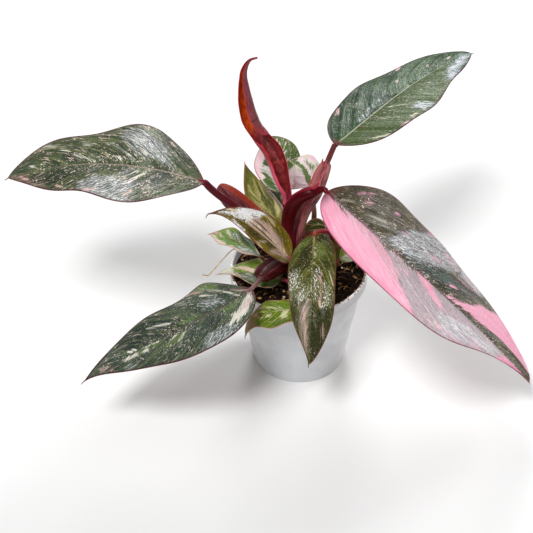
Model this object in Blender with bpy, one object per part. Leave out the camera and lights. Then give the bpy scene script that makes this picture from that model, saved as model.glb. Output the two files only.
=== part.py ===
"""A pink princess philodendron standing in its small nursery pot.

Metres, +Z up. The origin is the middle of the pot's foot, and the plant's front looks along -Y, so +X is
its right-hand side. A heading is a direction on the plan, in degrees from +X towards +Y, and a pitch is an
angle in degrees above level.
"""
from dataclasses import dataclass

import bmesh
import bpy
import numpy as np
from mathutils import Matrix, Vector

# Pot: a thin moulded nursery pot with a skirt round its rim
POT_HEIGHT = 0.062
RIM_RADIUS = 0.036
FOOT_RADIUS = 0.025
WALL = 0.0012
FLOOR = 0.0016
SKIRT_HEIGHT = 0.0068
SKIRT_STEP = 0.0022
LIP = 0.0021
POT_EDGE = 0.0008
POT_SIDES = 56
DRAIN_HOLES = 6
DRAIN_RADIUS = 0.0028
DRAIN_CIRCLE = 0.0165
HOLE_SIDES = 16
CUT_MARGIN = 0.002

# Soil
SOIL_HEIGHT = 0.0562
SOIL_BUMP = 0.0008
SOIL_RINGS = 7
SOIL_EDGE = 0.002
STEM_FOOT = 0.040

# Gaps between a piece and its neighbour, and between a stalk and its blade
GAP = 0.0003
END_GAP = 0.0006

# Blades: how thick, how far the midrib stands out below, how far each half curls down from its fold in
# degrees, under which half width the underside follows the midrib, and how the outline falls to the tip
BLADE_THICKNESS = 0.0008
MIDRIB_RELIEF = 0.0006
BLADE_CURL = -14.0
NARROW = 0.003
FALL_BEND = 1.15

# How finely leaves and petioles are divided
LARGE_ROWS = 15
SMALL_ROWS = 8
LARGE_COLUMNS = (-1.0, -0.72, -0.42, -0.12, 0.0, 0.12, 0.42, 0.72, 1.0)
SMALL_COLUMNS = (-1.0, -0.6, -0.15, 0.0, 0.15, 0.6, 1.0)
LARGE_LEAF = 0.060
END_CROWDING = 0.75
PETIOLE_SIDES = 10
PATH_STEPS = 40
KNOT_STEPS = 20
RING_STEP = 0.0042

# Angles over which an edge is left sharp, in degrees
LEAF_SHARP = 40
POT_SHARP = 30


@dataclass
class Leaf:
    """A blade: where its stalk meets it, how its midrib runs, and its outline.

    Heading and pitch hold the midrib's direction at the base, a value it leans to, and the tip's. Roll goes
    from base to tip. Fold and tip have a left and a right value, seen from the base. Ripple waves the outline
    by a share, and wave lifts the edges: its height, how many along the blade, and its phase in degrees.
    """

    base: tuple
    heading: tuple
    pitch: tuple
    length: float
    width: float
    roll: tuple = (0, 0)
    fold: tuple = (10, 10)
    peak: float = 0.33
    shoulder: float = 0.5
    tip: tuple = (1.0, 1.0)
    ripple: tuple = (0.0, 0, 0)
    wave: tuple = (0.0, 2.0, 0)
    finish: str = "leaf_green"


@dataclass
class Petiole:
    """A stalk through a few points, with its radius at each.

    Its winged and grooved sheath covers the first few points, counted with a fraction, and faces one way.
    The lead is how much of its end runs straight into the blade.
    """

    points: tuple
    radius: tuple
    sheath: float = 0.0
    wing: float = 1.0
    groove: float = 0.0
    faces: tuple = (0, -0.3, 1)
    lead: float = 0.0025


LEAVES = {
    "leaf_left_upper": Leaf(
        base=(-0.047, 0.010, 0.111), heading=(179, 158, 187), pitch=(24, -11, -15), length=0.103, width=0.064,
        roll=(5, -2), fold=(12, 11), peak=0.31, shoulder=0.85, tip=(0.85, 0.7), ripple=(0.07, 190, 180),
        wave=(0.0010, 2.5, 0)),
    "leaf_right_upper": Leaf(
        base=(0.019, 0.018, 0.126), heading=(41, 56, 27), pitch=(12, 0, 4), length=0.104, width=0.047,
        roll=(-5, -6), fold=(4, 11), peak=0.30, shoulder=0.7, tip=(0.45, 0.75), ripple=(0.04, 100, 100),
        wave=(0.0008, 2.5, 90)),
    "leaf_right_pink": Leaf(
        base=(0.014, -0.002, 0.112), heading=(-40, -11, -30), pitch=(-24, -45, -41), length=0.143, width=0.084,
        roll=(2, -22), fold=(4, 17), peak=0.54, shoulder=0.55, tip=(0.35, 2.0), ripple=(0.08, 320, 140),
        wave=(0.0012, 2.5, 40), finish="leaf_pink"),
    "leaf_left_lower": Leaf(
        base=(-0.025, -0.031, 0.075), heading=(216, 173, 206), pitch=(-11, -32, -19), length=0.095, width=0.053,
        roll=(15, -6), fold=(10, 4), peak=0.25, shoulder=0.6, tip=(1.6, 1.05), ripple=(0.06, 250, 290),
        wave=(0.0008, 2.5, 200)),
    "leaf_front": Leaf(
        base=(0.008, -0.002, 0.085), heading=(-96, -91, -101), pitch=(6, -32, -72), length=0.073, width=0.025,
        roll=(14, 2), fold=(17, 7), peak=0.40, shoulder=0.45, tip=(0.7, 1.3), ripple=(0.04, 310, 280),
        wave=(0.0004, 2.5, 0), finish="leaf_olive"),
    "leaf_front_left": Leaf(
        base=(-0.005, -0.012, 0.078), heading=(177, 160, 170), pitch=(44, 62, -14), length=0.049, width=0.021,
        roll=(-12, -8), fold=(23, 35), peak=0.31, shoulder=0.4, tip=(1.55, 1.2), ripple=(0.02, 150, 110),
        finish="leaf_olive"),
    "leaf_small_left": Leaf(
        base=(-0.019, 0.001, 0.068), heading=(165, 157, 169), pitch=(40, 25, -7), length=0.031, width=0.022,
        roll=(33, -15), fold=(15, 4), peak=0.33, shoulder=0.55, tip=(1.0, 1.15), ripple=(0.16, 220, 320),
        finish="leaf_cream"),
    "leaf_small_low_left": Leaf(
        base=(-0.009, -0.012, 0.064), heading=(163, 166, 193), pitch=(5, 8, -6), length=0.034, width=0.026,
        roll=(-8, 25), fold=(18, 8), peak=0.32, shoulder=0.55, tip=(1.1, 0.95), ripple=(0.05, 100, 150),
        finish="leaf_cream"),
    "leaf_small_upright": Leaf(
        base=(-0.009, 0.015, 0.078), heading=(148, 146, 129), pitch=(39, 49, 73), length=0.038, width=0.017,
        roll=(-7, 9), fold=(2, 1), peak=0.30, shoulder=0.5, tip=(1.0, 1.05), ripple=(0.05, 350, 290),
        finish="leaf_olive"),
    "leaf_small_folded": Leaf(
        base=(0.0145, 0.0112, 0.0782), heading=(182, 188, 194), pitch=(6, 2, -20), length=0.0122, width=0.0105,
        fold=(66, 56), peak=0.40, tip=(1.1, 1.1), finish="leaf_green"),
    "leaf_small_right": Leaf(
        base=(0.021, 0.000, 0.066), heading=(22, 32, 26), pitch=(39, 22, -3), length=0.017, width=0.018,
        roll=(-22, 3), fold=(-4, 3), peak=0.35, shoulder=0.55, finish="leaf_cream"),
    "leaf_small_front": Leaf(
        base=(0.001, -0.0365, 0.066), heading=(191, 168, 198), pitch=(5, -2, -95), length=0.039, width=0.018,
        roll=(-2, -6), fold=(-5, 0), peak=0.26, shoulder=0.5, tip=(1.45, 1.1), ripple=(0.14, 120, 80),
        finish="leaf_cream"),
    "leaf_back_round": Leaf(
        base=(-0.006, 0.025, 0.092), heading=(113, 115, 119), pitch=(58, 57, 46), length=0.030, width=0.029,
        roll=(24, -12), fold=(12, 5), peak=0.43, shoulder=0.55, tip=(0.8, 0.6), ripple=(0.02, 30, 240),
        finish="leaf_cream"),
    "leaf_back_pale": Leaf(
        base=(0.007, 0.020, 0.099), heading=(120, 149, 180), pitch=(70, 66, 3), length=0.019, width=0.024,
        roll=(-7, 5), fold=(8, 10), peak=0.34, shoulder=0.5, tip=(1.1, 1.3), ripple=(0.13, 350, 350),
        finish="leaf_pink"),
    "leaf_back_dark": Leaf(
        base=(-0.005, 0.026, 0.076), heading=(128, 130, 140), pitch=(38, 26, 10), length=0.026, width=0.018,
        finish="leaf_green"),
    "sheath_left": Leaf(
        base=(-0.0110, 0.0085, 0.0785), heading=(172, 172, 172), pitch=(41, 43, 47), length=0.0405, width=0.0135,
        roll=(-50, -50), fold=(-12, -28), peak=0.60, shoulder=0.5, tip=(0.45, 0.45), finish="new_leaf"),
}

# Each shoot: its stem, and the stalk of each leaf on it
SHOOTS = {
    "stems_main": dict(
        stem=Petiole(
            points=((-0.0025, 0, STEM_FOOT), (-0.0025, 0, 0.052), (-0.0025, 0, 0.064), (-0.0022, 0.0005, 0.075)),
            radius=(0.0046, 0.0046, 0.0042, 0.0034)),
        petioles=dict(
            leaf_right_pink=Petiole(
                points=((-0.0030, 0, 0.066), (-0.0045, -0.0005, 0.078), (-0.0055, -0.001, 0.089),
                        (-0.0045, -0.001, 0.098), (-0.002, -0.001, 0.105), (0.002, -0.0015, 0.1098),
                        (0.0070, -0.002, 0.1120)),
                radius=(0.0026, 0.0027, 0.0030, 0.0034, 0.0037, 0.0036, 0.0030, 0.0014),
                sheath=6.2, wing=1.10, groove=0.40, faces=(-0.3, 0.6, 1)),
            leaf_right_upper=Petiole(
                points=((-0.0015, 0.002, 0.066), (-0.0003, 0.0035, 0.080), (0.0025, 0.0065, 0.0925),
                        (0.0085, 0.0105, 0.102), (0.0120, 0.0135, 0.1100), (0.0150, 0.0155, 0.1165)),
                radius=(0.0024, 0.0026, 0.0034, 0.0037, 0.0031, 0.0021, 0.0014),
                sheath=5.2, wing=1.12, groove=0.45, faces=(-1, -0.5, 0.5)),
            leaf_left_upper=Petiole(
                points=((-0.0025, 0.001, 0.066), (-0.0075, 0.0012, 0.0755), (-0.0170, 0.0020, 0.0860),
                        (-0.0295, 0.0045, 0.0968), (-0.0390, 0.0078, 0.1030), (-0.0445, 0.0096, 0.1078)),
                radius=(0.0026, 0.0024, 0.0022, 0.0020, 0.0019, 0.0019, 0.0017), lead=0.0008),
            leaf_left_lower=Petiole(
                points=((-0.0030, -0.002, 0.066), (-0.0055, -0.0045, 0.0710), (-0.0090, -0.008, 0.0720),
                        (-0.0165, -0.017, 0.0738), (-0.0200, -0.0235, 0.0745)),
                radius=(0.0026, 0.0028, 0.0030, 0.0027, 0.0018, 0.0014),
                sheath=3.6, wing=1.45, groove=0.45, faces=(0, 0, 1)),
            leaf_front_left=Petiole(
                points=((-0.0025, -0.002, 0.064), (-0.0018, -0.0080, 0.0700)),
                radius=(0.0020, 0.0018, 0.0014)),
            leaf_small_left=Petiole(
                points=((-0.0025, 0.001, 0.0625), (-0.0100, 0.0010, 0.0670)),
                radius=(0.0014, 0.0012, 0.0009)),
            leaf_small_upright=Petiole(
                points=((-0.0025, 0.002, 0.062), (-0.0050, 0.0100, 0.0690)),
                radius=(0.0018, 0.0015, 0.0012)),
            new_leaf=Petiole(
                points=((-0.0025, 0.002, 0.066), (-0.0040, 0.006, 0.082)),
                radius=(0.0026, 0.0023, 0.0020)),
            sheath_left=Petiole(
                points=((-0.0025, 0.001, 0.064), (-0.0060, 0.0070, 0.0725)),
                radius=(0.0020, 0.0016, 0.0010)),
        )),
    "stems_back": dict(
        stem=Petiole(
            points=((0.006, 0.016, STEM_FOOT), (0.006, 0.016, 0.052), (0.006, 0.0165, 0.064), (0.005, 0.017, 0.074)),
            radius=(0.0027, 0.0027, 0.0024, 0.0020)),
        petioles=dict(
            leaf_back_round=Petiole(
                points=((0.0055, 0.017, 0.066), (0.002, 0.0205, 0.079)),
                radius=(0.0016, 0.0014, 0.0011)),
            leaf_back_pale=Petiole(
                points=((0.0055, 0.017, 0.066), (0.0088, 0.018, 0.080)),
                radius=(0.0016, 0.0014, 0.0011)),
            leaf_back_dark=Petiole(
                points=((0.0055, 0.017, 0.062), (0.002, 0.0215, 0.0690)),
                radius=(0.0014, 0.0013, 0.0010)),
        )),
    "stems_front": dict(
        stem=Petiole(
            points=((-0.003, -0.013, STEM_FOOT), (-0.003, -0.013, 0.050), (-0.003, -0.013, 0.060)),
            radius=(0.0024, 0.0022, 0.0018)),
        petioles=dict(
            leaf_small_low_left=Petiole(
                points=((-0.003, -0.013, 0.0585), (-0.0044, -0.0133, 0.0618)),
                radius=(0.0014, 0.0013, 0.0010)),
            leaf_small_front=Petiole(
                points=((-0.003, -0.013, 0.0585), (-0.0005, -0.0200, 0.0635), (0.0045, -0.0310, 0.0665)),
                radius=(0.0014, 0.0012, 0.0011, 0.0009)),
        )),
    "stems_right": dict(
        stem=Petiole(
            points=((0.0203, 0.0105, STEM_FOOT), (0.0203, 0.0105, 0.052), (0.0203, 0.0105, 0.060),
                    (0.0195, 0.0105, 0.067)),
            radius=(0.0027, 0.0027, 0.0025, 0.0021)),
        petioles=dict(
            leaf_front=Petiole(
                points=((0.0200, 0.0105, 0.063), (0.0186, 0.0092, 0.0725), (0.0155, 0.0062, 0.0817),
                        (0.0115, 0.0040, 0.0852)),
                radius=(0.0019, 0.0018, 0.0017, 0.0015, 0.0013)),
            leaf_small_folded=Petiole(
                points=((0.0200, 0.0110, 0.063), (0.0205, 0.0125, 0.0715)),
                radius=(0.0011, 0.0010, 0.0008)),
            leaf_small_right=Petiole(
                points=((0.0200, 0.0105, 0.0590), (0.0178, 0.0030, 0.0612)),
                radius=(0.0013, 0.0011, 0.0009)),
        )),
}

# New leaf: a rolled blade. At each point on the middle of the roll it has the roll's radius, the turn of the
# roll's back from straight behind, to the right, and the arc from the back to either margin.
NEW_LEAF_PATH = (
    (-0.0057, 0.008, 0.0975), (-0.0055, 0.008, 0.1030), (-0.0080, 0.008, 0.1135), (-0.0095, 0.008, 0.1215),
    (-0.0122, 0.008, 0.1300), (-0.0152, 0.008, 0.1350), (-0.0203, 0.008, 0.1425), (-0.0233, 0.008, 0.1495),
    (-0.0250, 0.008, 0.1600), (-0.0255, 0.008, 0.1720), (-0.0245, 0.008, 0.1775), (-0.0220, 0.008, 0.1815),
    (-0.0185, 0.008, 0.1827),
)
NEW_LEAF_RADIUS = (
    0.0018, 0.0022, 0.0039, 0.0046, 0.0048, 0.0043, 0.0039, 0.0042, 0.0034, 0.0017, 0.0012, 0.0006, 0.0004,
)
NEW_LEAF_TURN = (-20, -20, -20, -20, -20, -14, 36, 45, 45, 45, 45, 45, 45)
NEW_LEAF_ARC = (165, 150, 125, 115, 110, 110, 128, 135, 138, 145, 150, 155, 160)
NEW_LEAF_FOOT = Leaf(base=NEW_LEAF_PATH[0], heading=(90, 90, 90), pitch=(88, 88, 88), length=0.001, width=0.001)
NEW_LEAF_THICKNESS = 0.0007
NEW_LEAF_RINGS = 30
NEW_LEAF_SIDES = 12

FINISHES = {
    "pot": ((0.80, 0.82, 0.84), 0.40),
    "soil": ((0.030, 0.018, 0.010), 0.95),
    "stem": ((0.140, 0.020, 0.028), 0.40),
    "stem_green": ((0.180, 0.070, 0.025), 0.45),
    "leaf_green": ((0.060, 0.100, 0.050), 0.35),
    "leaf_olive": ((0.130, 0.140, 0.030), 0.35),
    "leaf_cream": ((0.300, 0.340, 0.150), 0.40),
    "leaf_pink": ((0.800, 0.300, 0.400), 0.40),
    "new_leaf": ((0.330, 0.030, 0.030), 0.35),
}


def clear_scene():
    """Leaves the file with no objects."""
    for old in list(bpy.data.objects):
        bpy.data.objects.remove(old, do_unlink=True)


def finish(name):
    """The material of that name."""
    found = bpy.data.materials.get(name)
    if found:
        return found
    colour, roughness = FINISHES[name]
    made = bpy.data.materials.new(name)
    made.use_nodes = True
    shader = made.node_tree.nodes["Principled BSDF"]
    shader.inputs["Base Color"].default_value = (*colour, 1)
    shader.inputs["Roughness"].default_value = roughness
    shader.inputs["Metallic"].default_value = 0.0
    return made


def add_mesh(name, points, faces, material=None):
    """An object with that mesh, its faces split into triangles and turned outwards."""
    mesh = bpy.data.meshes.new(name)
    mesh.from_pydata([tuple(map(float, p)) for p in points], [], faces)
    work = bmesh.new()
    work.from_mesh(mesh)
    bmesh.ops.recalc_face_normals(work, faces=work.faces)
    work.to_mesh(mesh)
    work.free()
    made = bpy.data.objects.new(name, mesh)
    bpy.context.collection.objects.link(made)
    if material:
        mesh.materials.append(finish(material))
    mesh.shade_smooth()
    mesh.set_sharp_from_angle(angle=np.radians(LEAF_SHARP))
    return made


def blend3(values, share):
    """A value that starts at the first of three, leans to the second and ends at the third, at a share of the way."""
    rest = 1 - share
    return values[0] * rest**2 + 2 * values[1] * share * rest + values[2] * share**2


def direction(leaf, share):
    """Unit vectors along the midrib."""
    heading = np.radians(blend3(leaf.heading, share))
    pitch = np.radians(blend3(leaf.pitch, share))
    flat = np.cos(pitch)
    return np.stack([flat * np.cos(heading), flat * np.sin(heading), np.sin(pitch)], -1)


def midrib(leaf, share):
    """Points, right-hand directions and upward directions at shares of the blade's length."""
    middles = (np.arange(PATH_STEPS) + 0.5) / PATH_STEPS
    steps = direction(leaf, middles) * leaf.length / PATH_STEPS
    path = np.vstack([np.zeros(3), np.cumsum(steps, axis=0)]) + np.array(leaf.base)
    stations = np.arange(PATH_STEPS + 1) / PATH_STEPS
    points = np.stack([np.interp(share, stations, path[:, axis]) for axis in range(3)], -1)
    heading = np.radians(blend3(leaf.heading, share))
    level = np.stack([np.sin(heading), -np.cos(heading), np.zeros_like(heading)], -1)
    above = np.cross(level, direction(leaf, share))
    roll = np.radians(leaf.roll[0] + (leaf.roll[1] - leaf.roll[0]) * share)[..., None]
    right = level * np.cos(roll) - above * np.sin(roll)
    up = above * np.cos(roll) + level * np.sin(roll)
    return points, right, up


def half_width(leaf, share, side):
    """The blade's half width at shares of its length, on the side whose sign is given."""
    rise = np.clip(1 - (1 - np.clip(share / leaf.peak, 0, 1)) ** 2, 0, 1) ** leaf.shoulder
    past = np.clip((share - leaf.peak) / (1 - leaf.peak), 0, 1)
    fall = np.cos(np.pi / 2 * past**FALL_BEND) ** np.where(side > 0, leaf.tip[1], leaf.tip[0])
    amount, left, right = leaf.ripple
    ripple = 1 + amount * np.sin(4 * np.pi * share + np.radians(np.where(side > 0, right, left)))
    return leaf.width / 2 * np.where(share < leaf.peak, rise, fall) * ripple


def blade_points(leaf, share, across):
    """Points of the blade's upper face; across runs from -1 at the left edge to 1 at the right."""
    points, right, up = midrib(leaf, share)
    width = half_width(leaf, share, across)
    out = np.abs(across)
    fold = np.radians(np.where(across > 0, leaf.fold[1], leaf.fold[0]))
    curl = np.radians(BLADE_CURL)
    side = np.sign(across) * width * (np.sin(fold + curl * out) - np.sin(fold)) / curl
    rise = -width * (np.cos(fold + curl * out) - np.cos(fold)) / curl
    height, count, phase = leaf.wave
    turn = 2 * np.pi * count * share + np.radians(phase) + np.where(across > 0, np.pi / 2, 0)
    rise = rise + height * np.sin(turn) * out**2 * np.sqrt(np.sin(np.pi * np.clip(share, 0, 1)))
    return points + right * side[..., None] + up * rise[..., None]


def build_blade(name, leaf):
    """A blade as a thin closed solid, with a raised midrib underneath."""
    large = leaf.length > LARGE_LEAF
    rows = LARGE_ROWS if large else SMALL_ROWS
    columns = np.array(LARGE_COLUMNS if large else SMALL_COLUMNS)
    even = np.arange(1, rows) / rows
    shares = even * (1 - END_CROWDING) + END_CROWDING * (0.5 - 0.5 * np.cos(np.pi * even))
    along, across = np.meshgrid(shares, columns, indexing="ij")
    top = blade_points(leaf, along, across)
    normal = np.cross(np.gradient(top, axis=1), np.gradient(top, axis=0))
    normal /= np.linalg.norm(normal, axis=-1, keepdims=True)
    _, _, up = midrib(leaf, along)
    broad = np.clip(half_width(leaf, along, across) / NARROW, 0, 1)[..., None]
    normal = normal * broad + up * (1 - broad)
    normal /= np.linalg.norm(normal, axis=-1, keepdims=True)
    end_points, _, end_up = midrib(leaf, np.array([0.0, 1.0]))
    relief = MIDRIB_RELIEF * (1 - along) * (across == 0)
    bottom = top - normal * (BLADE_THICKNESS + relief)[..., None]
    wide = len(columns)
    count = (rows - 1) * wide
    points = list(top.reshape(-1, 3)) + list(bottom.reshape(-1, 3))
    for index in (0, 1):
        points += [end_points[index], end_points[index] - end_up[index] * BLADE_THICKNESS]
    base_top, base_bottom, tip_top, tip_bottom = range(2 * count, 2 * count + 4)
    faces = []
    for row in range(rows - 2):
        for column in range(wide - 1):
            near = row * wide + column
            far = near + wide
            if across[row, column] < 0:
                split = ((near, near + 1, far), (near + 1, far + 1, far))
            else:
                split = ((near, near + 1, far + 1), (near, far + 1, far))
            for tri in split:
                faces.append(tri)
                faces.append(tuple(count + i for i in reversed(tri)))
    last = (rows - 2) * wide
    for column in range(wide - 1):
        faces.append((base_top, column + 1, column))
        faces.append((base_bottom, count + column, count + column + 1))
        faces.append((tip_top, last + column, last + column + 1))
        faces.append((tip_bottom, count + last + column + 1, count + last + column))
    for edge in (0, wide - 1):
        rim = [base_top] + [row * wide + edge for row in range(rows - 1)] + [tip_top]
        under = [base_bottom] + [count + row * wide + edge for row in range(rows - 1)] + [tip_bottom]
        for k in range(len(rim) - 1):
            faces.append((rim[k], rim[k + 1], under[k + 1]))
            faces.append((rim[k], under[k + 1], under[k]))
    return add_mesh(name, points, faces, leaf.finish)


def smooth_path(points, count):
    """Points evenly spread along a smooth curve through the given ones, each with its place among them."""
    knots = np.array(points, float)
    padded = np.vstack([2 * knots[0] - knots[1], knots, 2 * knots[-1] - knots[-2]])
    dense = []
    for k in range(len(knots) - 1):
        a, b, c, d = padded[k:k + 4]
        t = np.arange(KNOT_STEPS)[:, None] / KNOT_STEPS
        dense.append(0.5 * (2 * b + (c - a) * t + (2 * a - 5 * b + 4 * c - d) * t**2
                            + (3 * b - a - 3 * c + d) * t**3))
    dense = np.vstack(dense + [knots[-1:]])
    run = np.concatenate([[0], np.cumsum(np.linalg.norm(np.diff(dense, axis=0), axis=1))])
    wanted = np.linspace(0, run[-1], count)
    even = np.stack([np.interp(wanted, run, dense[:, axis]) for axis in range(3)], -1)
    place = np.interp(wanted, run, np.arange(len(dense)) / KNOT_STEPS)
    return even, place


def frames(path, faces_way):
    """For each point of a path, the way it runs, the way its front faces, and the way to its side."""
    along = np.gradient(path, axis=0)
    along /= np.linalg.norm(along, axis=1, keepdims=True)
    front = np.array(faces_way, float) - along * (along @ np.array(faces_way, float))[:, None]
    front /= np.linalg.norm(front, axis=1, keepdims=True)
    return along, front, np.cross(along, front)


def loft(name, rings, material=None):
    """A closed solid through rings of points, with flat ends."""
    count, sides = rings.shape[:2]
    faces = [tuple(range(sides)), tuple(reversed(range((count - 1) * sides, count * sides)))]
    for row in range(count - 1):
        for k in range(sides):
            a, b = row * sides + k, row * sides + (k + 1) % sides
            faces.append((a, a + sides, b + sides))
            faces.append((a, b + sides, b))
    return add_mesh(name, rings.reshape(-1, 3), faces, material)


def petiole_solid(name, petiole, leaf=None):
    """A stalk along its points, grooved where its sheath is; it runs on to just short of the leaf's base."""
    points = [Vector(point) for point in petiole.points]
    if leaf:
        way = Vector(direction(leaf, np.array(0.0)))
        end = Vector(leaf.base) - Vector((0, 0, BLADE_THICKNESS / 2))
        points += [end - way * petiole.lead, end - way * END_GAP]
    radius = petiole.radius + petiole.radius[-1:] * (len(points) - len(petiole.radius))
    reach = sum((points[k + 1] - points[k]).length for k in range(len(points) - 1))
    path, place = smooth_path(points, max(4, round(reach / RING_STEP)))
    _, front, side = frames(path, petiole.faces)
    radius = np.interp(place, np.arange(len(radius)), radius)
    sheathed = np.clip((petiole.sheath - place) / 0.4, 0, 1)
    angle = 2 * np.pi * np.arange(PETIOLE_SIDES) / PETIOLE_SIDES
    dip = petiole.groove * np.exp(-(np.minimum(angle, 2 * np.pi - angle) / 0.5) ** 2)
    depth = radius[:, None] * (np.cos(angle) - dip * sheathed[:, None])
    breadth = (radius * (1 + (petiole.wing - 1) * sheathed))[:, None] * np.sin(angle)
    rings = path[:, None] + front[:, None] * depth[..., None] + side[:, None] * breadth[..., None]
    return loft(name, rings)


def fuse(target, others):
    """Joins the other solids to the target as one body."""
    group = bpy.data.collections.new("joined")
    bpy.context.scene.collection.children.link(group)
    for other in others:
        group.objects.link(other)
    union = target.modifiers.new("union", "BOOLEAN")
    union.operation = "UNION"
    union.operand_type = "COLLECTION"
    union.collection = group
    union.solver = "EXACT"
    union.use_self = True
    bake(target)
    for other in others:
        bpy.data.objects.remove(other, do_unlink=True)
    bpy.data.collections.remove(group)


def bake(target):
    """Replaces the object's mesh with the one that its modifiers give."""
    bpy.context.view_layer.update()
    seen = target.evaluated_get(bpy.context.evaluated_depsgraph_get())
    mesh = bpy.data.meshes.new_from_object(seen)
    target.modifiers.clear()
    target.data = mesh
    mesh.name = target.name


def build_shoot(name, shoot):
    """A stem with its petioles, grown together."""
    stem = petiole_solid(name, shoot["stem"])
    stem.data.materials.append(finish("stem_green" if name == "stems_right" else "stem"))
    parts = []
    for leaf, petiole in shoot["petioles"].items():
        parts.append(petiole_solid("petiole_" + leaf, petiole, LEAVES.get(leaf, NEW_LEAF_FOOT)))
    fuse(stem, parts)
    return stem


def build_new_leaf():
    """The rolled young leaf: an open scroll that turns as it rises and closes to a point."""
    path, place = smooth_path(NEW_LEAF_PATH, NEW_LEAF_RINGS)
    knots = np.arange(len(NEW_LEAF_PATH))
    radius = np.interp(place, knots, NEW_LEAF_RADIUS)
    turn = np.radians(np.interp(place, knots, NEW_LEAF_TURN))
    arc = np.radians(np.interp(place, knots, NEW_LEAF_ARC))
    _, front, side = frames(path, (0, -0.75, 0.66))
    half = NEW_LEAF_THICKNESS / 2
    spread = np.linspace(-1, 1, NEW_LEAF_SIDES)
    angle = turn[:, None] + arc[:, None] * spread[None]
    out = side[:, None] * np.sin(angle)[..., None] - front[:, None] * np.cos(angle)[..., None]
    outer = path[:, None] + out * (radius[:, None, None] + half)
    inner = path[:, None] + out * (np.maximum(radius - half, 0.15 * radius)[:, None, None])
    return loft("new_leaf", np.concatenate([outer, inner[:, ::-1]], axis=1), "new_leaf")


def pot_radius(height):
    """The pot body's outer radius at a height, under the skirt."""
    top = RIM_RADIUS - SKIRT_STEP
    return FOOT_RADIUS + (top - FOOT_RADIUS) * height / (POT_HEIGHT - SKIRT_HEIGHT)


def turned(name, profile, sides, material):
    """A solid turned round Z from a closed profile of radius and height."""
    work = bmesh.new()
    verts = [work.verts.new((radius, 0, height)) for radius, height in profile]
    edges = [work.edges.new((verts[k], verts[k + 1])) for k in range(len(verts) - 1)]
    bmesh.ops.spin(work, geom=verts + edges, cent=(0, 0, 0), axis=(0, 0, 1), angle=2 * np.pi, steps=sides)
    bmesh.ops.remove_doubles(work, verts=work.verts, dist=1e-6)
    bmesh.ops.recalc_face_normals(work, faces=work.faces)
    mesh = bpy.data.meshes.new(name)
    work.to_mesh(mesh)
    work.free()
    made = bpy.data.objects.new(name, mesh)
    bpy.context.collection.objects.link(made)
    mesh.materials.append(finish(material))
    mesh.shade_smooth()
    mesh.set_sharp_from_angle(angle=np.radians(POT_SHARP))
    return made


def cut(target, name, pegs):
    """Cuts round vertical holes: each peg is its centre, radius, lowest and highest level."""
    work = bmesh.new()
    for x, y, radius, low, high in pegs:
        place = Matrix.Translation((x, y, (low + high) / 2))
        bmesh.ops.create_cone(work, cap_ends=True, segments=HOLE_SIDES, radius1=radius, radius2=radius,
                              depth=high - low, matrix=place)
    mesh = bpy.data.meshes.new(name)
    work.to_mesh(mesh)
    work.free()
    cutter = bpy.data.objects.new(name, mesh)
    bpy.context.collection.objects.link(cutter)
    cutter.hide_render = True
    cutter.display_type = "WIRE"
    bore = target.modifiers.new(name, "BOOLEAN")
    bore.operation = "DIFFERENCE"
    bore.object = cutter
    bore.solver = "EXACT"


def build_pot():
    """The pot: a floor with drain holes, a tapered wall, and a stepped skirt with a lip."""
    skirt_foot = POT_HEIGHT - SKIRT_HEIGHT
    top = pot_radius(skirt_foot)
    profile = (
        (0, 0), (FOOT_RADIUS - POT_EDGE, 0), (FOOT_RADIUS, POT_EDGE), (top, skirt_foot - POT_EDGE),
        (RIM_RADIUS - POT_EDGE, skirt_foot), (RIM_RADIUS, POT_HEIGHT - POT_EDGE),
        (RIM_RADIUS - POT_EDGE / 2, POT_HEIGHT), (RIM_RADIUS - LIP + POT_EDGE / 2, POT_HEIGHT),
        (RIM_RADIUS - LIP, POT_HEIGHT - POT_EDGE), (RIM_RADIUS - LIP, skirt_foot + WALL),
        (top - WALL, skirt_foot + WALL - POT_EDGE), (pot_radius(FLOOR) - WALL, FLOOR), (0, FLOOR),
    )
    pot = turned("pot", profile, POT_SIDES, "pot")
    pegs = []
    for angle in 2 * np.pi * np.arange(DRAIN_HOLES) / DRAIN_HOLES:
        x, y = DRAIN_CIRCLE * np.cos(angle), DRAIN_CIRCLE * np.sin(angle)
        pegs.append((x, y, DRAIN_RADIUS, -CUT_MARGIN, FLOOR + CUT_MARGIN))
    cut(pot, "drain_cutter", pegs)
    return pot


def soil_height(x, y):
    """The soil's bumpy top."""
    wide = np.sin(310 * x + 1.3) * np.cos(270 * y - 0.4)
    fine = 0.6 * np.sin(640 * x - 380 * y + 2.1)
    return SOIL_HEIGHT + SOIL_BUMP * (wide + fine)


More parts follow.
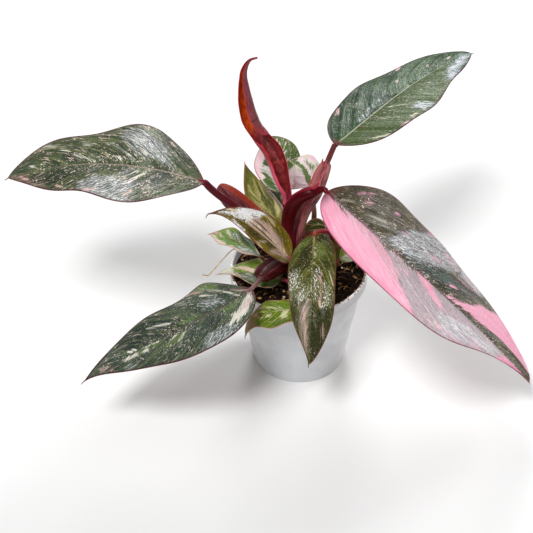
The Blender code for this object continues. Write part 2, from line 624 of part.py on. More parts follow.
def build_soil():
    """The soil: it fills the pot to just under the skirt, with a plain hole for each stem."""
    turns = 2 * np.pi * np.arange(POT_SIDES) / POT_SIDES
    edge = pot_radius(SOIL_HEIGHT) - WALL - GAP
    foot = pot_radius(FLOOR + GAP) - WALL - GAP
    rings = []
    for radius in edge * np.arange(1, SOIL_RINGS + 1) / SOIL_RINGS:
        x, y = radius * np.cos(turns), radius * np.sin(turns)
        fade = 1 - (radius / edge) ** 6
        rings.append(np.stack([x, y, SOIL_HEIGHT + (soil_height(x, y) - SOIL_HEIGHT) * fade], -1))
    shoulder = pot_radius(SOIL_HEIGHT - SOIL_EDGE) - WALL - GAP
    for radius, height in ((shoulder, SOIL_HEIGHT - SOIL_EDGE), (foot, FLOOR + GAP)):
        rings.append(np.stack([radius * np.cos(turns), radius * np.sin(turns), 0 * turns + height], -1))
    points = [(0, 0, soil_height(0, 0))] + [p for ring in rings for p in ring] + [(0, 0, FLOOR + GAP)]
    last = 1 + (len(rings) - 1) * POT_SIDES
    faces = []
    for k in range(POT_SIDES):
        other = (k + 1) % POT_SIDES
        faces.append((0, 1 + k, 1 + other))
        faces.append((len(points) - 1, last + other, last + k))
        for row in range(len(rings) - 1):
            a, b = 1 + row * POT_SIDES + k, 1 + row * POT_SIDES + other
            faces.append((a, a + POT_SIDES, b + POT_SIDES))
            faces.append((a, b + POT_SIDES, b))
    soil = add_mesh("soil", points, faces, "soil")
    pegs = []
    for shoot in SHOOTS.values():
        x, y, _ = shoot["stem"].points[0]
        pegs.append((x, y, shoot["stem"].radius[0] + GAP, STEM_FOOT - GAP, SOIL_HEIGHT + 2 * CUT_MARGIN))
    cut(soil, "stem_holes", pegs)
    return soil


def main():
    clear_scene()
    build_pot()
    build_soil()
    for name, shoot in SHOOTS.items():
        build_shoot(name, shoot)
    for name, leaf in LEAVES.items():
        build_blade(name, leaf)
    build_new_leaf()


main()
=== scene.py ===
"""The looks of a pink princess philodendron in its small nursery pot.

Every piece is built here in metres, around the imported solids, and rides on the body "root". Each blade,
stalk and pot has the form of the node that it replaces, with finer edges, veins and relief. A heading is a
direction on the plan, in degrees from +X towards +Y, and a pitch is an angle in degrees above level.
"""
import math
from dataclasses import dataclass, field

import bmesh
import bpy
import numpy as np
from mathutils import Matrix, Vector


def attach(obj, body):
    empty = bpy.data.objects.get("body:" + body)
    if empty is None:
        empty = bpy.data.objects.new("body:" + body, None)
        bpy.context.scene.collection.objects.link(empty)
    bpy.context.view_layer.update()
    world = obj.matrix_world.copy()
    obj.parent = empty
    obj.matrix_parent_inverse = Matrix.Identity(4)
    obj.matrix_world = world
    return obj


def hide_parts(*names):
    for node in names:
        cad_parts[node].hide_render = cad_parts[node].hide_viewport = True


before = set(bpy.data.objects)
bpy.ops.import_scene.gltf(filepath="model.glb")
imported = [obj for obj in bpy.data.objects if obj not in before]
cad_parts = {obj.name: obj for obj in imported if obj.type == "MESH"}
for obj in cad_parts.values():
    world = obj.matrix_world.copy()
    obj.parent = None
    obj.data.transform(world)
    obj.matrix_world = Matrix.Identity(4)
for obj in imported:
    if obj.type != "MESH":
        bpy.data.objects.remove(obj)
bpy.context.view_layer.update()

MM = 1000.0
PERCENT = 100.0
TINY = 1e-12
SEED = 7

# Camera: the photograph's angle, fitted to the ellipse of the pot's rim
IMAGE_SIDE = 533
FOCAL_PIXELS = 1146.0
ELEVATION = 41.0
CAMERA_ROLL = -1.5
DISTANCE = 0.600
RIM_PIXEL = (298.7, 266.1)
SENSOR = 36.0

# Light: each lamp's azimuth, elevation, distance, size and power; azimuth 0 is in front, and 90 on the right
LIGHTS = dict(
    back_box=(176, 34, 1.1, 0.34, 4.2),
    right_back_box=(130, 20, 1.1, 0.36, 5.5),
    front_key=(-28, 60, 1.2, 0.30, 10.0),
    front_fill=(8, 20, 1.0, 0.60, 1.0),
)
LIGHT_TARGET = (0.0, 0.0, 0.09)
SURROUND = 0.26
FLOOR_REACH = 6.0

# Pot and soil: the solids' sizes, except for the lip, which is thinner here, and the finer details
POT_HEIGHT = 0.062
RIM_RADIUS = 0.036
FOOT_RADIUS = 0.025
WALL = 0.0012
FLOOR = 0.0016
SKIRT_HEIGHT = 0.0068
SKIRT_STEP = 0.0022
LIP = 0.0014
POT_EDGE = 0.0006
LIP_EDGE = 0.0007
SKIRT_BEAD = 0.0022
SKIRT_HOLLOW = 0.0002
FOOT_RING = 0.0036
RECESS = 0.0004
POT_SHARP = 38
POT_STEPS = 192
MERGE = 1e-6
DRAIN_HOLES = 6
DRAIN_RADIUS = 0.0028
DRAIN_CIRCLE = 0.0165
SOIL_HEIGHT = 0.0562
SOIL_BUMP = 0.0008
SOIL_ROUGH = 0.00025
SOIL_RISE = 0.0007
SOIL_GAP = 0.0003
SOIL_TURNS = 220
SOIL_RINGS = 52
STEM_FOOT = 0.040

# Litter: the two colours and the grain of each ground; for each piece its ground, its number of crumbs, their
# sizes and their shape; and the degrees round the rim where crumbs lie
GROUNDS = dict(
    soil_mix=((0.004, 0.0025, 0.002), (0.034, 0.018, 0.010), 900.0),
    bark=((0.090, 0.044, 0.018), (0.560, 0.330, 0.150), 700.0),
    grains=((0.55, 0.50, 0.42), (0.80, 0.78, 0.72), 800.0),
    fibre=((0.34, 0.20, 0.08), (0.60, 0.42, 0.18), 600.0),
)
CRUMBS = dict(
    soil_crumbs=("soil_mix", 900, (0.0005, 0.0013), (1.0, 0.8, 0.7)),
    soil_bark=("bark", 240, (0.0008, 0.0024), (1.0, 0.34, 0.20)),
    rim_crumbs=("bark", 46, (0.0003, 0.0006), (1.0, 0.8, 0.6)),
    soil_grains=("grains", 26, (0.0004, 0.0009), (1.0, 0.9, 0.8)),
)
CRUMB_SHARP = 30
FIBRES = 110
RIM_CLUSTERS = (-52, -38, -22, -8, 150, 172, 196, 60)
FIBRE_STEPS = 14
FIBRE_SIDES = 5
FIBRE_RADIUS = 0.00013
STRAND_PATH = (
    (-0.0250, 0.017, 0.0570), (-0.0300, 0.016, 0.0600), (-0.0345, 0.0140, 0.0626), (-0.0400, 0.0085, 0.0606),
    (-0.0470, 0.0015, 0.0566), (-0.0490, 0.0005, 0.0568), (-0.0508, 0.0002, 0.0576),
)
STRAND_RINGS = 60
STRAND_SIDES = 8
STRAND_RADIUS = 0.00026
STRAND_SHADE = 0.6

# Blades: outline, thickness and relief in metres, and the grid that each is built on
BLADE_CURL = -14.0
FALL_BEND = 1.15
NARROW = 0.003
BASE_TAPER = 0.01
BASE_LEAST = 0.3
DRIP_START = 0.94
DRIP_HALF_WIDTH = 0.00055
DRIP_END = 0.25
BLADE_THICKNESS = 0.00055
MARGIN_THICKNESS = 0.00022
MARGIN_REACH = 0.0012
RIB_RELIEF = 0.0007
RIB_WIDTH = 0.0008
RIB_GROOVE = 0.00022
GROOVE_SHARE = 0.9
GROOVE_FADE = 0.75
VEIN_BEND = 1.5
FULL_RELIEF_WIDTH = 0.006
RIB_CLEAR = 0.0022
EDGE_CLEAR = 0.16
SWELL = 0.9
PUCKER = 0.35
END_CROWDING = 0.75
LARGE_LEAF = 0.060
LARGE_ROWS = 170
SMALL_ROWS = 84
LARGE_HALF = np.concatenate([(0.012, 0.025, 0.045, 0.07), np.linspace(0.1, 0.95, 32), (0.975, 0.99, 1.0)])
SMALL_HALF = np.concatenate([(0.03, 0.06), np.linspace(0.1, 0.94, 18), (0.975, 1.0)])
PATH_STEPS = 60
KNOT_STEPS = 20

# Marks on a blade: their kinds, and how their outlines and streaks are read. One kind is a painted sheen: a
# highlight painted into the colour.
MARKS = ("pink", "rosy", "pale", "haze", "painted_sheen", "dark", "moss", "scar", "vein_line")
FIELD_LIMIT = 6.0
OUTLINE_STEPS = 8
END_SHARE = 0.02
STREAK_END = 0.35
STREAK_BLUNT = 0.08
BLADE_APART = 7.0
HALVES_APART = 31.0
SCAR = (0.12, 0.040, 0.012)
FADED = (0.66, 0.58, 0.58)

# Stalks: grooves, ridges and the borders of a sheath, as angles in radians or shares of the radius
STALK_SIDES = 32
STALK_STEP = 0.0007
LEAST_RINGS = 12
STALK_OVERLAP = 0.045
STALK_BELOW = 0.0003
STALK_END = 0.35
RIDGES = 9
RIDGE_HEIGHT = 0.012
PLAIN_GROOVE = 0.14
GROOVE_WIDTH = 0.42
SHEATH_GROOVE_WIDTH = 0.5
SHEATH_FADE = 0.4
BORDER_ANGLE = 0.72
BORDER_WIDTH = 0.20
LIP_HEIGHT = 0.16
LIP_WIDTH = 0.16
LIGULE_START = 0.9
LIGULE_STEPS = 12
LIGULE_TIP = 0.0002
LIGULE_HALF = 0.00022
LIGULE_STREAK = 0.2


@dataclass
class Leaf:
    """A blade: where its stalk meets it, how its midrib runs, and its outline.

    Heading and pitch hold the midrib's direction at the base, a value it leans to, and the tip's. Roll goes
    from base to tip. Fold and tip have a left and a right value, seen from the base. Ripple waves the outline
    by a share, and wave lifts the edges: its height, how many along the blade, and its phase in degrees. The
    drip is the thin point past the blade's end: its length, and how far it turns in heading and pitch.
    """

    base: tuple
    heading: tuple
    pitch: tuple
    length: float
    width: float
    roll: tuple = (0, 0)
    fold: tuple = (10, 10)
    peak: float = 0.33
    shoulder: float = 0.5
    tip: tuple = (1.0, 1.0)
    ripple: tuple = (0.0, 0, 0)
    wave: tuple = (0.0, 2.0, 0)
    drip: tuple = (0.0, 0, 0)


LEAVES = {
    "leaf_left_upper": Leaf(
        base=(-0.047, 0.010, 0.111), heading=(179, 158, 187), pitch=(24, -11, -15), length=0.103, width=0.064,
        roll=(5, -2), fold=(12, 11), peak=0.31, shoulder=0.85, tip=(0.85, 0.7), ripple=(0.07, 190, 180),
        wave=(0.0010, 2.5, 0), drip=(0.0022, 20, -30)),
    "leaf_right_upper": Leaf(
        base=(0.019, 0.018, 0.126), heading=(41, 56, 27), pitch=(12, 0, 4), length=0.104, width=0.047,
        roll=(-5, -6), fold=(4, 11), peak=0.30, shoulder=0.7, tip=(0.45, 0.75), ripple=(0.04, 100, 100),
        wave=(0.0008, 2.5, 90), drip=(0.0015, -20, -20)),
    "leaf_right_pink": Leaf(
        base=(0.014, -0.002, 0.112), heading=(-40, -11, -30), pitch=(-24, -45, -41), length=0.143,
        width=0.084, roll=(2, -22), fold=(4, 17), peak=0.54, shoulder=0.55, tip=(0.35, 2.0),
        ripple=(0.08, 320, 140), wave=(0.0012, 2.5, 40), drip=(0.0014, -10, -25)),
    "leaf_left_lower": Leaf(
        base=(-0.025, -0.031, 0.075), heading=(216, 173, 206), pitch=(-11, -32, -19), length=0.095,
        width=0.053, roll=(15, -6), fold=(10, 4), peak=0.25, shoulder=0.6, tip=(1.6, 1.05),
        ripple=(0.06, 250, 290), wave=(0.0008, 2.5, 200), drip=(0.0025, 20, -20)),
    "leaf_front": Leaf(
        base=(0.008, -0.002, 0.085), heading=(-96, -91, -101), pitch=(6, -32, -72), length=0.073, width=0.025,
        roll=(14, 2), fold=(17, 7), peak=0.40, shoulder=0.45, tip=(0.7, 1.3), ripple=(0.04, 310, 280),
        wave=(0.0004, 2.5, 0), drip=(0.0020, 10, -10)),
    "leaf_front_left": Leaf(
        base=(-0.005, -0.012, 0.078), heading=(177, 160, 170), pitch=(44, 62, -14), length=0.049, width=0.021,
        roll=(-12, -8), fold=(23, 35), peak=0.31, shoulder=0.4, tip=(1.55, 1.2), ripple=(0.02, 150, 110),
        drip=(0.0042, 25, -75)),
    "leaf_small_left": Leaf(
        base=(-0.019, 0.001, 0.068), heading=(165, 157, 169), pitch=(40, 25, -7), length=0.031, width=0.022,
        roll=(33, -15), fold=(15, 4), peak=0.33, shoulder=0.55, tip=(1.0, 1.15), ripple=(0.16, 220, 320),
        drip=(0.0010, 0, -20)),
    "leaf_small_low_left": Leaf(
        base=(-0.009, -0.012, 0.064), heading=(163, 166, 193), pitch=(5, 8, -6), length=0.034, width=0.026,
        roll=(-8, 25), fold=(18, 8), peak=0.32, shoulder=0.55, tip=(1.1, 0.95), ripple=(0.05, 100, 150),
        drip=(0.0012, 0, -20)),
    "leaf_small_upright": Leaf(
        base=(-0.009, 0.015, 0.078), heading=(148, 146, 129), pitch=(39, 49, 73), length=0.038, width=0.017,
        roll=(-7, 9), fold=(2, 1), peak=0.30, shoulder=0.5, tip=(1.0, 1.05), ripple=(0.05, 350, 290),
        drip=(0.0012, 0, 0)),
    "leaf_small_folded": Leaf(
        base=(0.0145, 0.0112, 0.0782), heading=(182, 188, 194), pitch=(6, 2, -20), length=0.0122,
        width=0.0105, fold=(66, 56), peak=0.40, tip=(1.1, 1.1)),
    "leaf_small_right": Leaf(
        base=(0.021, 0.000, 0.066), heading=(22, 32, 26), pitch=(39, 22, -3), length=0.017, width=0.018,
        roll=(-22, 3), fold=(-4, 3), peak=0.35, shoulder=0.55),
    "leaf_small_front": Leaf(
        base=(0.001, -0.0365, 0.066), heading=(191, 168, 198), pitch=(5, -2, -95), length=0.039, width=0.018,
        roll=(-2, -6), fold=(-5, 0), peak=0.26, shoulder=0.5, tip=(1.45, 1.1), ripple=(0.14, 120, 80),
        drip=(0.0012, 0, 0)),
    "leaf_back_round": Leaf(
        base=(-0.006, 0.025, 0.092), heading=(113, 115, 119), pitch=(58, 57, 46), length=0.030, width=0.029,
        roll=(24, -12), fold=(12, 5), peak=0.43, shoulder=0.55, tip=(0.8, 0.6), ripple=(0.02, 30, 240)),
    "leaf_back_pale": Leaf(
        base=(0.007, 0.020, 0.099), heading=(120, 149, 180), pitch=(70, 66, 3), length=0.019, width=0.024,
        roll=(-7, 5), fold=(8, 10), peak=0.34, shoulder=0.5, tip=(1.1, 1.3), ripple=(0.13, 350, 350)),
    "leaf_back_dark": Leaf(
        base=(-0.005, 0.026, 0.076), heading=(128, 130, 140), pitch=(38, 26, 10), length=0.026, width=0.018),
    "sheath_left": Leaf(
        base=(-0.0110, 0.0085, 0.0785), heading=(172, 172, 172), pitch=(41, 43, 47), length=0.0405,
        width=0.0135, roll=(-50, -50), fold=(-12, -28), peak=0.60, shoulder=0.5, tip=(0.45, 0.45)),
}


@dataclass
class Look:
    """How a blade is marked.

    Each patch is an outline of points: the percent along the blade, and across from -100 at the left edge to
    100 at the right. Streaks are listed by kind: two such points and a width in millimetres. The lean is how
    far the side veins run towards the tip on the left and right halves, as a share of the length.
    """

    green: tuple
    shade: tuple
    light: tuple = (0.075, 0.090, 0.022)
    pink: tuple = ()
    pale: tuple = ()
    haze: tuple = ()
    # patches of painted sheen: a highlight painted into the colour
    painted_sheen: tuple = ()
    dark: tuple = ()
    moss: tuple = ()
    rosy: tuple = ()
    streaks: dict = field(default_factory=dict)
    lean: tuple = (0.25, 0.25)
    veins: int = 13
    relief: float = 0.00016
    flecks: float = 0.5
    rib: tuple = (0.45, 0.36, 0.30)
    rib_reach: float = 0.8
    margin: tuple = (0.15, 0.035, 0.045)
    margin_width: float = 0.45
    pink_tint: tuple = (0.80, 0.26, 0.40)
    pale_tint: tuple = (0.72, 0.68, 0.50)
    haze_tint: tuple = (0.42, 0.33, 0.33)
    haze_fill: float = 0.0
    # the painted sheen's colour, and how far it fills its area
    painted_sheen_tint: tuple = (0.42, 0.46, 0.47)
    painted_sheen_fill: float = 0.2
    streaky: float = 1.0
    moss_tint: tuple = (0.17, 0.22, 0.05)
    moss_over: bool = True
    fleck_tint: tuple = (0.66, 0.58, 0.48)
    # how strong the painted glints are outside the painted sheen
    glint_strength: float = 0.7
    jagged: float = 0.85
    gloss: float = 0.24
    underside: tuple = (0.20, 0.10, 0.07)
    roughness: float = 0.34
    base_tint: tuple = (0.16, 0.05, 0.05)


# The sheen patches and streaks in these looks are painted highlights, laid into each blade's colour.
LOOKS = {
    "leaf_left_upper": Look(
        green=(0.084, 0.112, 0.05), shade=(0.026, 0.04, 0.022), light=(0.165, 0.18, 0.065),
        lean=(0.22, 0.45), veins=12, relief=0.0003, flecks=1.5, rib=(0.34, 0.25, 0.22), rib_reach=0.82,
        margin=(0.085, 0.014, 0.022), margin_width=0.85, pink_tint=(0.84, 0.48, 0.46),
        pale_tint=(0.9, 0.84, 0.76), haze_tint=(0.19, 0.125, 0.095), painted_sheen_tint=(0.62, 0.63, 0.68),
        painted_sheen_fill=0.03, fleck_tint=(0.82, 0.7, 0.58), glint_strength=1.2,
        haze=(((74, -110), (78, -55), (92, -15), (100, 0), (100, -110)),),
        painted_sheen=(((16, 20), (26, 20), (37, 34), (44, 55), (48, 86), (36, 84), (22, 62)),
                ((30, -46), (40, -40), (50, -42), (58, -72), (54, -110), (30, -110))),
        dark=(((56, -8), (88, -22), (88, -80), (74, -85), (60, -45)),
              ((14, -15), (20, -55), (28, -60), (26, -12)),
              ((3, 55), (16, 62), (24, 80), (30, 100), (6, 100))),
        streaks=dict(
            pale=((27.5, -12, 34.5, -54, 1.1), (32, -14, 37, -38, 0.7), (28, 27, 34, 37, 0.8),
                  (55, 6, 67, 32, 0.9), (77, 74, 83, 92, 1.3), (86, 14, 88.5, 28, 1.1),
                  (40, 10, 47, 20, 0.7), (60, 56, 64, 62, 0.7), (70, 40, 74, 56, 0.6)),
            pink=((48, -86, 53, -96, 1.3), (59, -92, 61, -100, 1.0), (66, -88, 70, -84, 0.9),
                  (88, -66, 93, -45, 1.4), (18, 82, 21, 88, 0.9), (31, -72, 34, -84, 0.8),
                  (33, -40, 36, -52, 0.6)),
            vein_line=((20, 10, 40, 62, 0.9), (14, 10, 34, 72, 0.9), (26, 8, 45, 66, 0.9),
                       (9, 10, 26, 74, 0.8), (32, 8, 50, 62, 0.8), (5, 14, 19, 76, 0.8)))),
    "leaf_right_upper": Look(
        green=(0.05, 0.104, 0.044), shade=(0.018, 0.042, 0.021), light=(0.145, 0.225, 0.105),
        lean=(0.32, 0.1), veins=14, relief=0.0002, flecks=0.55, rib=(0.4, 0.4, 0.29), rib_reach=0.86,
        margin=(0.085, 0.014, 0.022), margin_width=0.75, pink_tint=(0.8, 0.5, 0.5),
        haze_tint=(0.082, 0.115, 0.032), painted_sheen_tint=(0.58, 0.63, 0.7), painted_sheen_fill=0.14,
        moss_tint=(0.12, 0.2, 0.125), fleck_tint=(0.6, 0.62, 0.54), glint_strength=0.4, gloss=0.12, roughness=0.32,
        haze=(((4, 5), (70, 5), (88, -10), (76, 60), (66, 110), (2, 110)),),
        painted_sheen=(((69, 82), (80, 36), (90, 0), (96, -40), (100, -10), (100, 60), (86, 80), (74, 110)),
                ((40, 66), (46, 62), (50, 90), (42, 95))),
        streaks=dict(
            pink=((19, -82, 23.5, -92, 1.3), (66, -88, 68, -97, 1.6), (30, -54, 31, -58, 0.9),
                  (56, -36, 57, -42, 1.0), (60, -26, 61, -32, 1.0), (26, 94, 30, 98, 1.0),
                  (76, -34, 77, -40, 0.9), (88, -30, 90, -36, 0.9)),
            scar=((16.5, 2, 14.5, 46, 0.45), (16, 4, 15, 16, 0.7)),
            pale=((33, 84, 37, 88, 1.6), (12, 82, 18, 96, 1.1), (25, 20, 30, 66, 0.6),
                  (36, 16, 44, 60, 0.5)),
            painted_sheen=((61, 28, 66, 52, 1.0), (20, -10, 38, -22, 0.8)),
            moss=((10, -14, 28, -70, 0.7), (20, -12, 38, -66, 0.6), (30, -10, 46, -56, 0.7),
                  (42, -14, 58, -60, 0.6), (54, -12, 70, -56, 0.7)))),
    "leaf_right_pink": Look(
        green=(0.092, 0.08, 0.042), shade=(0.036, 0.034, 0.019), light=(0.125, 0.106, 0.062),
        lean=(0.62, 0.3), relief=0.00022, flecks=1.45, rib=(0.2, 0.12, 0.13), rib_reach=0.7,
        margin=(0.26, 0.06, 0.085), margin_width=0.6, pink_tint=(0.84, 0.32, 0.46),
        pale_tint=(0.4, 0.36, 0.28), haze_tint=(0.52, 0.405, 0.465), haze_fill=0.25,
        painted_sheen_tint=(0.82, 0.84, 0.9), painted_sheen_fill=0.06, streaky=0.6, moss_tint=(0.06, 0.105, 0.085),
        moss_over=False, fleck_tint=(0.86, 0.72, 0.6), glint_strength=0.55, gloss=0.12,
        pink=(((-2, 10), (8, 14), (16, 26), (24, 40), (30, 52), (34.5, 68), (40, 84), (47, 115), (-2, 115)),
              ((40.5, 0), (48, 0), (50, 20), (54, 46), (50, 42), (45.5, 22)),
              ((55, -4), (62, -16), (68, -32), (72, -52), (78, -74), (86, -115), (102, -115), (102, -52),
               (95, -42), (86, -34), (74, -16), (64, -8)),
              ((76, 115), (82, 70), (86, 20), (90, 0), (96, 0), (94, 115))),
        rosy=(((6, 5), (24, 3), (31, 26), (36, 60), (42, 86), (36, 80), (26, 52), (14, 28)),),
        pale=(((15, -20), (19, -24), (23, -31), (22.5, -38), (17, -26)),),
        haze=(((2, 0), (26, 0), (25, 6), (5, 10)),
              ((27, 10), (50, 2), (66, 2), (90, 3), (92, 115), (46, 115), (37, 66))),
        painted_sheen=(((26, -8), (36, -6), (48, -35), (60, -72), (62, -110), (44, -110), (32, -60)),
                ((50, 60), (62, 40), (82, 34), (80, 92), (54, 96)),
                ((60, -70), (72, -80), (76, -110), (62, -110))),
        dark=(((30, -3), (56, -4), (56, -28), (42, -16)),
              ((26, -8), (36, -6), (50, -35), (60, -72), (50, -100), (40, -90), (30, -50)),
              ((58, -20), (70, -56), (76, -76), (70, -80), (58, -50))),
        moss=(((26, -5), (32, -10), (42, -34), (52, -50), (66, -40), (56, -18), (50, -5)),
              ((55.5, 1), (64, 1), (65, 14), (62, 24), (58, 12)),
              ((68.5, 1), (75, 1), (75, 10), (72, 24), (70, 10)),
              ((34, 34), (38, 46), (44, 86), (40, 70))),
        streaks=dict(
            pink=((43.5, -49, 50, -56, 1.2), (50, -68, 60, -82, 0.8), (62, -80, 74, -92, 0.9),
                  (56, -27, 60, -34, 1.9), (67, 74, 70, 84, 1.3), (56, 44, 59, 52, 1.1),
                  (50, -82, 58, -92, 0.9), (36, 28, 38.5, 34, 1.3), (60, -58, 70, -72, 0.7),
                  (24, -66, 26, -70, 0.9), (40, -94, 44, -98, 1.1), (65, -94, 70, -100, 0.8),
                  (66, 88, 70, 94, 1.0), (48, 84, 62, 98, 0.9), (42, 16, 53, 50, 0.8),
                  (30, 30, 36, 46, 0.9), (58, 30, 62, 42, 0.8)),
            pale=((6, -16, 9.5, -30, 0.9),),
            rosy=((12, -46, 15, -52, 0.8), (8, -60, 10, -70, 0.8), (11, -74, 13, -80, 1.0),
                  (30, -42, 33, -50, 0.7)))),
    "leaf_left_lower": Look(
        green=(0.062, 0.092, 0.058), shade=(0.024, 0.038, 0.028), light=(0.15, 0.185, 0.08),
        lean=(0.22, 0.36), veins=12, relief=0.00022, flecks=1.2, rib=(0.13, 0.075, 0.07), rib_reach=0.6,
        margin=(0.085, 0.014, 0.022), margin_width=0.8, pink_tint=(0.78, 0.46, 0.44),
        pale_tint=(0.86, 0.82, 0.72), painted_sheen_tint=(0.54, 0.62, 0.64), painted_sheen_fill=0.0,
        moss_tint=(0.15, 0.23, 0.075), moss_over=False, fleck_tint=(0.72, 0.66, 0.58), glint_strength=1.4,
        pale=(((1, -32), (3, -66), (8, -78), (16, -80), (16, -72), (22, -70), (17, -60), (16, -50),
               (11, -46), (7, -32)),
              ((68, -10), (68, -30), (74, -34), (77, -16), (73, -8)),
              ((60, -14), (62, -30), (66, -24), (65, -12))),
        painted_sheen=(((18, -60), (30, -62), (34, -95), (30, -110), (16, -95)),
                ((14, 6), (24, 10), (30, 40), (20, 42))),
        moss=(((6, -6), (10, -30), (17, -34), (20, -10)),
              ((38, -14), (43, -40), (50, -46), (54, -38), (45, -14)),
              ((52, -5), (56, -20), (66, -26), (71, -12), (70, -4)),
              ((30, 5), (38, 8), (42, 18), (36, 20)),
              ((14, 62), (24, 70), (34, 98), (20, 105), (12, 85))),
        streaks=dict(
            rosy=((2, 8, 8, 48, 1.5), (3, -44, 10, -70, 0.9), (8, -50, 13, -62, 0.6),
                  (22, 70, 36, 102, 0.9), (88.5, 2, 90.5, 22, 0.9), (85, -10, 90, -30, 0.8)),
            pale=((7, 8, 12, 46, 0.9), (12, 52, 22, 70, 0.9), (47, 32, 60, 58, 1.1), (17, 42, 26, 62, 0.9),
                  (69, 5, 73, 14, 1.6), (40, -16, 44, -40, 0.7), (56, -6, 65, -2, 1.0),
                  (44, -10, 50, -30, 0.6)),
            painted_sheen=((22, 10, 27, 24, 1.2), (72, -70, 76, -78, 1.8)),
            pink=((84, -50, 85, -72, 0.6),))),
    "leaf_front": Look(
        green=(0.088, 0.098, 0.016), shade=(0.03, 0.031, 0.007), light=(0.19, 0.21, 0.04),
        lean=(0.34, 0.34), veins=11, relief=0.00022, flecks=0.7, rib=(0.34, 0.33, 0.1), rib_reach=0.26,
        margin=(0.16, 0.05, 0.03), pink_tint=(0.62, 0.36, 0.28), pale_tint=(0.6, 0.54, 0.36),
        haze_tint=(0.36, 0.29, 0.24), painted_sheen_tint=(0.78, 0.74, 0.54), painted_sheen_fill=0.06, streaky=0.35,
        moss_tint=(0.17, 0.225, 0.045), moss_over=False, fleck_tint=(0.62, 0.56, 0.4), glint_strength=0.9,
        gloss=0.2, roughness=0.26, base_tint=(0.22, 0.06, 0.015),
        haze=(((55, 14), (72, 20), (92, 20), (94, 100), (80, 80), (60, 52)),),
        painted_sheen=(((34, -2), (33, -24), (42, -34), (56, -20), (54, -2)),
                ((33, 62), (36, 46), (46, 56), (50, 98), (36, 100)),
                ((48, -78), (60, -74), (60, -46), (44, -52)),
                ((44, 26), (54, 30), (58, 66), (50, 70))),
        dark=(((-2, -90), (4, -50), (5, 0), (4, 50), (-2, 90)),
              ((60, -110), (62, -30), (58, 5), (94, 10), (100, -50), (100, -110)),
              ((2, -110), (3, -20), (9, -30), (12, -110)),
              ((12, 6), (14, 60), (30, 66), (34, 10)),
              ((64, 66), (66, 110), (80, 110))),
        moss=(((10, -14), (14, -56), (22, -64), (26, -20), (20, -6)),
              ((5, 34), (8, 110), (20, 110), (16, 60), (10, 30))),
        streaks=dict(
            rosy=((38, -34, 52, -40, 0.9), (53, -36, 60, -36, 1.2), (60, 36, 86, 50, 1.4),
                  (72, -60, 80, -80, 0.8)),
            pale=((36, -72, 46, -92, 0.7), (14, -8, 24, -8, 0.9)))),
    "leaf_front_left": Look(
        green=(0.21, 0.155, 0.004), shade=(0.06, 0.048, 0.004), light=(0.36, 0.26, 0.01), lean=(0.4, 0.4),
        veins=9, relief=0.00018, flecks=0.35, rib=(0.56, 0.4, 0.28), rib_reach=0.7,
        margin=(0.16, 0.025, 0.03), pale_tint=(0.72, 0.6, 0.46), haze_tint=(0.52, 0.365, 0.3),
        haze_fill=0.9, painted_sheen_tint=(0.84, 0.84, 0.83), painted_sheen_fill=0.22, streaky=0.5, glint_strength=0.6,
        gloss=0.09, underside=(0.3, 0.05, 0.05), roughness=0.26, base_tint=(0.3, 0.15, 0.04),
        haze=(((4, 6), (12, 26), (24, 46), (40, 56), (60, 50), (62, 10), (58, -6), (46, -16), (32, -12),
               (28, 2)),
              ((5, -2), (4, -42), (12, -50), (27, -80), (26, -50), (16, -4))),
        painted_sheen=(((56, 12), (64, 8), (72, 10), (90, 22), (90, 46), (76, 50), (74, 105), (48, 105), (54, 56),
                 (60, 50)),
                ((58, -110), (62, -80), (74, -66), (80, -110))),
        dark=(((18, -4), (28, -52), (34, -46), (33, -6)),
              ((44, -20), (44, -80), (56, -90), (60, -10)),
              ((94, -80), (100, 80), (110, 0))),
        streaks=dict(
            pale=((34, -22, 42, -70, 1.0), (38, -100, 44, -84, 1.2), (10, 10, 60, 20, 0.7),
                  (76, 55, 84, 95, 0.8), (35, 74, 46, 86, 1.2)),
            vein_line=((22, 5, 60, 16, 0.9), (14, -6, 40, -16, 0.9), (34, 26, 58, 40, 0.8),
                       (10, -20, 22, -44, 0.8)))),
    "leaf_small_left": Look(
        green=(0.14, 0.29, 0.035), shade=(0.036, 0.085, 0.02), light=(0.29, 0.46, 0.07), lean=(0.4, 0.4),
        veins=8, flecks=1.0, rib=(0.42, 0.46, 0.22), margin=(0.62, 0.34, 0.28), pink_tint=(0.82, 0.46, 0.4),
        pale_tint=(0.84, 0.66, 0.56), painted_sheen_tint=(0.62, 0.74, 0.66), painted_sheen_fill=0.12, streaky=0.6,
        fleck_tint=(0.62, 0.66, 0.46), gloss=0.16,
        pale=(((60, -110), (66, -78), (80, -55), (92, -10), (102, 0), (102, -110)),
              ((0, 0), (10, 6), (16, 60), (6, 80)),
              ((6, -110), (10, -84), (60, -84), (60, -110))),
        painted_sheen=(((14, -90), (18, -20), (34, -20), (46, -50), (50, -86)),
                ((46, 20), (56, 10), (72, 30), (66, 60), (52, 60))),
        dark=(((26, 30), (30, 100), (56, 100), (56, 50), (40, 20)),),
        streaks=dict(
            pale=((62, 0, 72, 60, 0.8), (76, -20, 82, 20, 1.0), (40, -10, 52, 20, 0.7)),
            rosy=((84, 20, 92, 70, 0.9),))),
    "leaf_small_low_left": Look(
        green=(0.19, 0.38, 0.04), shade=(0.05, 0.11, 0.025), light=(0.46, 0.58, 0.08), lean=(0.4, 0.4),
        veins=8, flecks=1.2, rib=(0.5, 0.46, 0.26), margin=(0.66, 0.34, 0.29), pink_tint=(0.92, 0.62, 0.5),
        pale_tint=(0.94, 0.92, 0.82), painted_sheen_tint=(0.7, 0.74, 0.62), painted_sheen_fill=0.0, streaky=0.6,
        moss_tint=(0.38, 0.56, 0.08), fleck_tint=(0.74, 0.74, 0.54), gloss=0.16,
